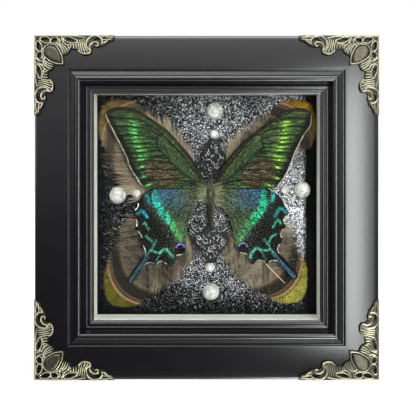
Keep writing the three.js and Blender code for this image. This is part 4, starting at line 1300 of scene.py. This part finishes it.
def shaft_mesh(feather, pale):
    """The quill; a pale one lies bare for a stretch and is covered elsewhere."""
    points = []
    for along, _ in QUILL:
        lifted = 2.5 if pale and BARE_FROM < along < BARE_TO else 0.1
        points.append(tuple(on_card(feather, along * feather["size"], 0.0, FEATHER_DEPTH - lifted)))
    shaft = wires([(points, [radius * MM for _, radius in QUILL], False)], "shaft", 6, 2)
    paint(shaft, plain("#b3a58c" if pale else "#30291f", len(shaft.vertices)))
    return shaft


def make_feathers():
    barbs = feather_barbs()
    for i, (corner, feather) in enumerate(FEATHERS.items()):
        name = f"plume_{corner}"
        parts = [
            feather_mesh(name, feather, 31 + i),
            down_mesh(f"{name}_down", feather, 41 + i),
            shaft_mesh(feather, corner == "bottom_right"),
        ]
        add_piece(name, joined(parts, name), barbs, f"feather_{corner}")


# ---------------------------------------------------------------- pearls


def make_pearls():
    coat = pearl_coat()
    places = ("top", "left", "right", "bottom")
    for name in [f"{size}_{place}" for place in places for size in ("large", "small")]:
        low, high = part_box(f"pearl_{name}")
        size, middle = high - low, (low + high) / 2
        bm = bmesh.new()
        bmesh.ops.create_uvsphere(bm, u_segments=40, v_segments=24, radius=0.5)
        whole = bm.verts[:] + bm.edges[:] + bm.faces[:]
        cut = bmesh.ops.bisect_plane(
            bm, geom=whole, plane_co=(0, 0, 0), plane_no=(0, 0, -1), clear_outer=True
        )
        rim = [e for e in cut["geom_cut"] if isinstance(e, bmesh.types.BMEdge)]
        bmesh.ops.contextual_create(bm, geom=rim)
        turn = Matrix.Rotation(math.pi / 2, 3, "X")
        bmesh.ops.rotate(bm, verts=bm.verts, cent=(0, 0, 0), matrix=turn)
        bmesh.ops.scale(bm, verts=bm.verts, vec=(size.x, 2 * size.y, size.z))
        bmesh.ops.translate(bm, verts=bm.verts, vec=(middle.x, high.y, middle.z))
        bmesh.ops.recalc_face_normals(bm, faces=bm.faces)
        mesh = to_mesh(bm, name)
        add_piece(f"half_pearl_{name}", mesh, coat, f"pearl_{name}", sharp_angle=50)


# ---------------------------------------------------------------- black openwork and crystals

OPENWORK_FRONT = 23.2
FACE_RAISE = 0.4  # how far the polished faces stand before the black scrolls
TOP_EDGE = [
    (212, 140), (207, 145), (205, 150), (201, 158), (197, 168), (200, 174), (205, 180), (207, 186),
    (215, 186), (218, 179), (221, 172), (224, 164), (225, 157), (221, 150), (217, 142),
]
BOTTOM_EDGE = [
    (205, 229), (203, 233), (196, 234), (194, 239), (197, 245), (201, 251), (205, 257), (210, 262),
    (215, 258), (219, 253), (224, 247), (228, 241), (226, 235), (218, 233), (215, 229),
]
# Scrolls of the casting with polished faces: short strokes and small rings
TOP_STROKES = [
    [(212.8, 141.4), (213.6, 144)], [(211, 145), (212, 148)], [(208.4, 150), (209.6, 153.4)],
    [(213.6, 147.2), (215.6, 149.4), (217.6, 148)], [(222.4, 151.6), (224.4, 154.6)],
    [(218, 159.6), (220.6, 157.4), (219.2, 154.4)], [(220.6, 157.4), (222.6, 158.6)],
    [(205.2, 154.4), (206.6, 157)], [(202.6, 157), (204.2, 160)],
    [(206, 160.6), (209.2, 159.4), (211.6, 161), (212, 164.4)], [(207.4, 163.8), (208.2, 166)],
    [(213.2, 162), (214.4, 165)], [(208.4, 167.6), (209.2, 170.2), (211.8, 171)],
    [(204, 166), (205.6, 168.6)], [(202, 163), (202.2, 166.6)], [(201.4, 172.2), (203.2, 174.4)],
    [(202.6, 175.6), (204.4, 178)], [(208.6, 174.6), (210.6, 173.2), (212.6, 174)],
    [(210, 180.8), (213, 179.4)], [(206.4, 180), (208.2, 182)], [(211.6, 175.6), (212.6, 178)],
    [(207.2, 176), (209.2, 177.6)], [(213, 183), (214.2, 186)], [(207, 183), (207.4, 186)],
    [(196, 163), (198, 160.4), (201, 158.2)], [(198, 168), (200, 164.6)], [(205, 148.6), (207, 146.8)],
]
BOTTOM_STROKES = [
    [(189.4, 229), (192, 231.4), (195, 234)], [(188.8, 232.3), (191.6, 234.6), (194.3, 237.2)],
    [(225.4, 233.8), (228.6, 230.4), (231.4, 228)], [(228, 236), (230, 233), (232, 231)],
    [(191, 226), (194, 229), (197, 232)], [(223, 231.6), (226, 228.6), (229, 226)],
    [(211, 231.6), (216, 230.8), (220.4, 231.8)], [(203, 235), (204.6, 238)],
    [(206.2, 238.4), (207.8, 240.6)],
    [(205.6, 243.8), (208.4, 242.4)], [(196.6, 240.4), (198.4, 243.6), (200.6, 245.4)],
    [(210.6, 239.8), (210.4, 244)], [(213, 237), (214.4, 239.6)], [(215.6, 235), (217.6, 236.8)],
    [(213, 241.2), (214.2, 243.2)], [(217, 241), (218.8, 238.2)], [(221, 240.6), (223.6, 238)],
    [(219.4, 242.4), (221.2, 245.2)], [(222.6, 241.8), (225, 243.2)], [(226, 245), (227.6, 241.4)],
    [(217, 244.8), (219.4, 246.4), (219.8, 249)], [(204, 247.6), (205.8, 249.4)],
    [(203.2, 251), (204.6, 253.6)],
    [(207.4, 250.4), (209.2, 252.6)], [(213.4, 251.6), (214.2, 255), (217.2, 257)],
    [(216, 251.4), (218, 254.6)], [(213, 256.8), (215.4, 258.4)], [(210, 255.8), (210.8, 258.4)],
    [(200, 237), (201.6, 240)], [(200.8, 247.4), (203, 246)], [(207.6, 255), (206.4, 252.6)],
]
SCROLL_RINGS = [
    (216.4, 146, 1.6), (217.5, 152, 1.7), (216.9, 165.8, 2.4), (208.6, 153, 1.5), (223.9, 242.6, 2.8),
    (211.2, 249, 2.6), (199, 237.6, 1.8), (205.4, 240.6, 2.4), (219.8, 235.8, 1.8), (214.6, 246.6, 1.6),
]
SIDE_BARS = [
    [(189, 225), (192, 229), (196, 233)],
    [(188, 230), (191, 233.6), (195, 237)],
    [(187, 233.6), (190.4, 237), (194, 240)],
    [(233, 226), (229, 230), (225, 234)],
    [(234, 229), (230.6, 233), (227, 237)],
]
# Rhinestones: places and radii of the large ones, in photograph pixels
LARGE_STONES = [
    (212.4, 156, 2.6), (209.1, 235, 2.3), (216.9, 165.8, 1.2), (213.4, 142.8, 1.2), (223.9, 242.6, 1.3),
    (211.2, 249, 1.3),
]
STONE_PIXEL = 0.62  # mm to a pixel at the depth of the openwork


def openwork_points(line, behind=0.0):
    """A line on the photograph as points on the openwork's front, or so many mm behind it."""
    depth = OPENWORK_FRONT + behind
    return [tuple(to_world(x, depth, z)) for x, z in (seen(px, py, depth) for px, py in line)]


def make_openwork():
    strokes = []
    for lines, behind, radius, closed in (
        ((TOP_EDGE, BOTTOM_EDGE), 0.0, 0.8, True),
        (SIDE_BARS, 0.0, 0.6, False),
        (TOP_STROKES + BOTTOM_STROKES, 0.1, 0.55, False),
    ):
        for line in lines:
            strokes.append((openwork_points(line, behind), [radius * MM] * len(line), closed))
    scrolls = wires(strokes, "scrolls", 5, 3)
    # Black mesh floor between the scrolls
    floor = bmesh.new()
    for line in (TOP_EDGE, BOTTOM_EDGE):
        floor.faces.new([floor.verts.new(point) for point in openwork_points(line, 0.9)])
    bmesh.ops.recalc_face_normals(floor, faces=floor.faces)
    bmesh.ops.solidify(floor, geom=floor.faces[:], thickness=0.4 * MM)
    black = joined([scrolls, to_mesh(floor, "floor")], "openwork")
    add_piece("openwork", black, black_enamel(), "black_openwork", sharp_angle=40)


def make_polished_faces():
    strokes = []
    for line in TOP_STROKES + BOTTOM_STROKES:
        radii = [0.1] + [0.23] * (len(line) - 2) + [0.1] if len(line) > 2 else [0.24, 0.14]
        points = openwork_points(line, -FACE_RAISE - 0.02)
        strokes.append((points, [r * MM for r in radii], False))
    for cx, cy, radius in SCROLL_RINGS:
        turns = [(0.3 + 5.2 * k / 5) for k in range(6)]
        ring = [(cx + radius * math.cos(a), cy + radius * math.sin(a)) for a in turns]
        radii = [r * MM for r in (0.12, 0.22, 0.24, 0.18, 0.13, 0.08)]
        strokes.append((openwork_points(ring, -FACE_RAISE), radii, False))
    faces = wires(strokes, "polished_faces", 4, 2)
    add_piece("polished_faces", faces, polished_nickel(), None, sharp_angle=40)


def make_rhinestones():
    """A few large crystals, and small ones scattered inside the edges."""
    rng = np.random.default_rng(5)
    stones = list(LARGE_STONES)
    for line, top, bottom in ((TOP_EDGE, 140, 186), (BOTTOM_EDGE, 229, 262)):
        placed = 0
        while placed < (bottom - top) * 1.2:
            px, py = rng.uniform(193, 229), rng.uniform(top, bottom)
            if inside(line, np.array([px]), np.array([py]))[0]:
                stones.append((px, py, rng.uniform(0.4, 0.8)))
                placed += 1
    bm = bmesh.new()
    for px, py, radius in stones:
        size = radius * STONE_PIXEL * MM
        made = bmesh.ops.create_cone(
            bm, cap_ends=True, segments=8, radius1=size, radius2=size * 0.55, depth=size * 0.9
        )["verts"]
        turn = Matrix.Rotation(math.pi / 2, 3, "X") @ Matrix.Rotation(rng.uniform(0, 6.28), 3, "Z")
        bmesh.ops.rotate(bm, verts=made, cent=(0, 0, 0), matrix=turn)
        tip, tilt = rng.normal(0, 0.25), rng.normal(0, 0.25)
        lean = Matrix.Rotation(tip, 3, "X") @ Matrix.Rotation(tilt, 3, "Z")
        bmesh.ops.rotate(bm, verts=made, cent=(0, 0, 0), matrix=lean)
        bmesh.ops.translate(bm, verts=made, vec=openwork_points([(px, py)], -0.1)[0])
    bmesh.ops.recalc_face_normals(bm, faces=bm.faces)
    mesh = to_mesh(bm, "rhinestones")
    add_piece("rhinestones", mesh, foiled_crystal(), None, sharp_angle=5)


# ---------------------------------------------------------------- body

BODY_DEPTH = 19.9


def body_shape(name, top, bottom, half_width, half_depth, depth, tint, waist=0.0, rings=0):
    """An egg-shaped stretch of the body between two heights, banded if it has rings."""
    bm = bmesh.new()
    bmesh.ops.create_uvsphere(bm, u_segments=32, v_segments=28, radius=1)
    for vert in bm.verts:
        share = (1 - vert.co.z) / 2
        taper = 1 - waist * share
        ringed = 1 + (0.05 * math.cos(share * rings * 2 * math.pi) if rings else 0)
        vert.co.x *= half_width * taper * ringed
        vert.co.y *= half_depth * taper * ringed
        vert.co.z = mix(bottom, top, (vert.co.z + 1) / 2)
    mesh = to_mesh(bm, name)
    local = coordinates(mesh)
    move_to(mesh, to_world(local[:, 0] + BODY_X, local[:, 1] + depth, local[:, 2]))
    paint(mesh, tint(local[:, 0] / half_width, (top - local[:, 2]) / (top - bottom)))
    return mesh


def body_hair(count, top, bottom, half_width, half_depth, depth, colours, seed):
    """Short hairs lying back over the thorax."""
    rng = np.random.default_rng(seed)
    mesh, strip, hand, t = ribbons(count, 4, "hair")
    angle = rng.uniform(math.pi, 2 * math.pi, count)[strip]
    share = rng.uniform(0.02, 0.98, count)
    ring = np.sqrt(np.clip(1 - (2 * share - 1) ** 2, 0.02, 1))[strip]
    z = mix(top, bottom, share)[strip] - 2.2 * t
    grow = 1 + 0.35 * t * rng.uniform(0.3, 1, count)[strip]
    x = half_width * ring * np.cos(angle) * grow + hand * mix(0.09, 0.02, t)
    y = half_depth * ring * np.sin(angle) * grow
    move_to(mesh, to_world(x + BODY_X, y + depth, z))
    tone = rng.random(count)[strip]
    paint(mesh, lay(plain(colours[0], len(t)), colours[1], smooth_step(0.3, 1, tone)))
    return mesh


def root_hair(count, seed):
    """Longer hairs that fan from the thorax over the bases of the wings."""
    rng = np.random.default_rng(seed)
    mesh, strip, hand, t = ribbons(count, 4, "root_hair")
    side = np.where(rng.random(count) < 0.5, -1.0, 1.0)[strip]
    heading = rng.uniform(-1.15, 1.0, count)[strip]
    length = rng.uniform(2.5, 7.5, count)[strip]
    start = rng.uniform(3.5, 12.5, count)[strip]
    x = side * (1.6 + length * t * np.cos(heading)) - hand * 0.07 * np.sin(heading)
    z = start + length * t * np.sin(heading) + hand * 0.07 * np.cos(heading)
    depth = WING_DEPTH - 0.35 - 0.5 * rng.random(count)[strip] - FORE_RISE * np.abs(x)
    move_to(mesh, to_world(x + BODY_X, depth, z))
    pale = smooth_step(0.15, 0.9, rng.random(count)[strip])
    paint(mesh, lay(plain("#2d3022", len(t)), "#868b66", pale))
    return mesh


def make_body():
    def dark(x, share):
        return plain("#2b281f", len(x))

    def half_lit(x, share):
        # Painted light: the right half of the abdomen is painted lighter, as if lit from the right; the
        # darker rings between the segments are its own colour
        colour = lay(plain("#1c1914", len(x)), "#5c5140", smooth_step(0.0, 0.8, x))
        return lay(colour, "#0e0d0a", smooth_step(0.35, 0.0, np.abs(((share * 9) % 1) - 0.5)) * 0.5)

    parts = [
        body_shape("thorax", 14.4, 2.6, 2.6, 3.0, BODY_DEPTH, dark),
        body_shape("abdomen", 4.8, -15.0, 2.5, 2.7, BODY_DEPTH + 0.4, half_lit, 0.3, 9),
        body_shape("head", 17.6, 13.4, 2.0, 2.0, BODY_DEPTH, dark),
        body_hair(900, 16.0, 1.6, 2.6, 3.0, BODY_DEPTH, ("#23251b", "#5d6048"), 61),
        body_hair(160, 12.0, 6.0, 1.1, 3.1, BODY_DEPTH, ("#5d6651", "#a3a88e"), 62),
        root_hair(420, 63),
    ]
    feeler = [(0.9, -1.2, 16.6), (2.6, -2.2, 25.0), (4.8, -2.4, 34.0), (5.4, -2.4, 35.6)]
    limb_lines = [(feeler, (0.16, 0.16, 0.28, 0.4))]
    for root, foot in ((12.6, 18.4), (8.2, 2.4), (6.0, -2.0)):
        leg = [(0.8, 1.6, root), (3.0, 2.3, (root + foot) / 2), (1.4, 2.5, foot)]
        limb_lines.append((leg, (0.3, 0.22, 0.15)))
    strokes = []
    for side in (1, -1):
        for line, radii in limb_lines:
            points = [tuple(to_world(BODY_X + side * a, BODY_DEPTH + b, c)) for a, b, c in line]
            strokes.append((points, [r * MM for r in radii], False))
    limbs = wires(strokes, "limbs", 6, 2)
    paint(limbs, plain("#15120e", len(limbs.vertices)))
    whole = joined(parts + [limbs], "insect_body")
    add_piece("insect_body", whole, insect_hair(), "butterfly_body", sharp_angle=60)


# ---------------------------------------------------------------- pieces kept from the frame


def dress_nodes():
    finishes = [
        (("glass_pane",), picture_glass()),
        (("spacer_left", "spacer_right", "spacer_top", "spacer_bottom"), cream_board()),
        (("glitter_card",), glitter_card()),
        (("backing_board",), hardboard()),
    ]
    steel = [n for n in nodes if n.startswith(("retaining_point", "hanger"))]
    finishes.append((steel, zinc_plate()))
    for names, material in finishes:
        for name in names:
            nodes[name].data.materials.clear()
            nodes[name].data.materials.append(material)


# ---------------------------------------------------------------- floor, lights and camera

# Soft boxes aimed at the middle of the frame: place in metres, width and height in metres, watts,
# and whether gloss alone sees them, or all but gloss
LIGHTS = {
    "key": ((0.36, -1.0, 0.34), (0.12, 0.3), 7.2, False),
    "reflector": ((0.325, -0.98, 0.03), (0.2, 0.6), 6.2, True),
    "low_strip": ((0.44, -0.62, -0.85), (0.8, 0.26), 16, True),
    "high_strip": ((0.05, -0.72, 0.8), (1.3, 0.24), 11, True),
    "left_strip": ((-0.9, -0.7, 0.4), (0.08, 0.6), 1.4, True),
}


def make_floor():
    bm = bmesh.new()
    bmesh.ops.create_grid(bm, x_segments=1, y_segments=1, size=4.0)
    floor = bpy.data.objects.new("floor", to_mesh(bm, "floor"))
    # Matt white paper sweep: even and shadowless
    surface = {"Roughness": 0.9, "Base Color": to_linear(rgb("#f4f4f2"))}
    surface["Emission Color"] = to_linear(rgb("#ffffff"))
    material, tree, shader = new_material("pale_paper", surface)
    # The camera sees the floor as white as the room; it lights the frame only as paper would
    eye = add(tree, "LightPath").outputs["Is Camera Ray"]
    link(shader, {"Emission Strength": add(tree, "Math", {0: eye, 1: 0.55}, operation="MULTIPLY")})
    floor.visible_glossy = False
    floor.visible_shadow = False
    floor.data.materials.append(material)
    bpy.context.scene.collection.objects.link(floor)


def make_lights():
    middle = Vector((0, 0, HALF * MM))
    for name, (place, size, power, gloss_only) in LIGHTS.items():
        lamp = bpy.data.lights.new(name, "AREA")
        lamp.shape = "RECTANGLE"
        lamp.size, lamp.size_y = size
        lamp.energy = power
        if gloss_only:
            lamp.color = (0.95, 1.0, 0.975)
        holder = bpy.data.objects.new(name, lamp)
        holder.location = place
        holder.rotation_euler = (middle - Vector(place)).to_track_quat("-Z", "Y").to_euler()
        holder.visible_diffuse = not gloss_only
        holder.visible_glossy = gloss_only
        holder.visible_transmission = not gloss_only
        bpy.context.scene.collection.objects.link(holder)


def make_world():
    """White room for the camera; the gloss sees it dim at the front and bright overhead."""
    world = bpy.data.worlds.new("room")
    bpy.context.scene.world = world
    world.use_nodes = True
    tree = world.node_tree
    tree.nodes.clear()
    side = add(tree, "SeparateXYZ", {0: add(tree, "TexCoord").outputs["Generated"]})
    up = side.outputs["Z"]
    soft = add(tree, "MapRange", {"Value": up, 1: -0.3, 2: 0.8, 3: 0.16, 4: 0.6})
    mirrored = add(tree, "MapRange", {"Value": up, 1: -0.1, 2: 0.42, 3: 0.06, 4: 1.8})
    overhead = add(tree, "MapRange", {"Value": up, 1: 0.55, 2: 0.75, 3: 0.0, 4: 0.9})
    table = add(tree, "MapRange", {"Value": up, 1: -0.5, 2: -0.75, 3: 0.0, 4: 1.3})
    # A tall white card stands to the right of the camera
    card_near = add(tree, "MapRange", {"Value": side, 1: 0.66, 2: 0.74, 3: 0.0, 4: 0.95})
    card_far = add(tree, "MapRange", {"Value": side, 1: 0.97, 2: 0.9, 3: 0.0, 4: 1.0})
    card = add(tree, "Math", {0: card_near, 1: card_far}, operation="MULTIPLY")
    gloss = mirrored
    for brighter in (overhead, table, card):
        gloss = add(tree, "Math", {0: gloss, 1: brighter})
    light = add(tree, "LightPath")
    # A ray that left through the glass counts as glossy too, and takes the soft light
    rays = {0: light.outputs["Is Glossy Ray"], 1: light.outputs["Is Transmission Ray"]}
    direct = add(tree, "Math", rays, operation="SUBTRACT", use_clamp=True)
    room = add(tree, "Mix", {0: direct, 2: soft, 3: gloss})
    strength = add(tree, "Mix", {0: light.outputs["Is Camera Ray"], 2: room, 3: 1.0})
    surface = add(tree, "Background", {"Color": (1, 1, 1, 1), "Strength": strength})
    add(tree, "OutputWorld", {"Surface": surface})


def make_camera():
    data = bpy.data.cameras.new("camera")
    data.lens = LENS
    data.sensor_width = SENSOR
    data.shift_x = (PHOTO_SIDE / 2 - STRAIGHT_AHEAD[0]) / PHOTO_SIDE
    data.shift_y = (STRAIGHT_AHEAD[1] - PHOTO_SIDE / 2) / PHOTO_SIDE
    data.clip_start = 0.01
    camera = bpy.data.objects.new("camera", data)
    camera.location = (EYE_X * MM, (FRONT - EYE_TO_FRONT) * MM, (HALF + EYE_Z) * MM)
    camera.rotation_euler = (math.pi / 2, 0, 0)
    bpy.context.scene.collection.objects.link(camera)
    bpy.context.scene.camera = camera


make_camera()
make_floor()
make_world()
make_lights()

make_rails()
make_castings()
make_wings()
make_feathers()
make_pearls()
make_openwork()
make_polished_faces()
make_rhinestones()
make_body()
dress_nodes()

bpy.context.scene.view_settings.view_transform = "Standard"
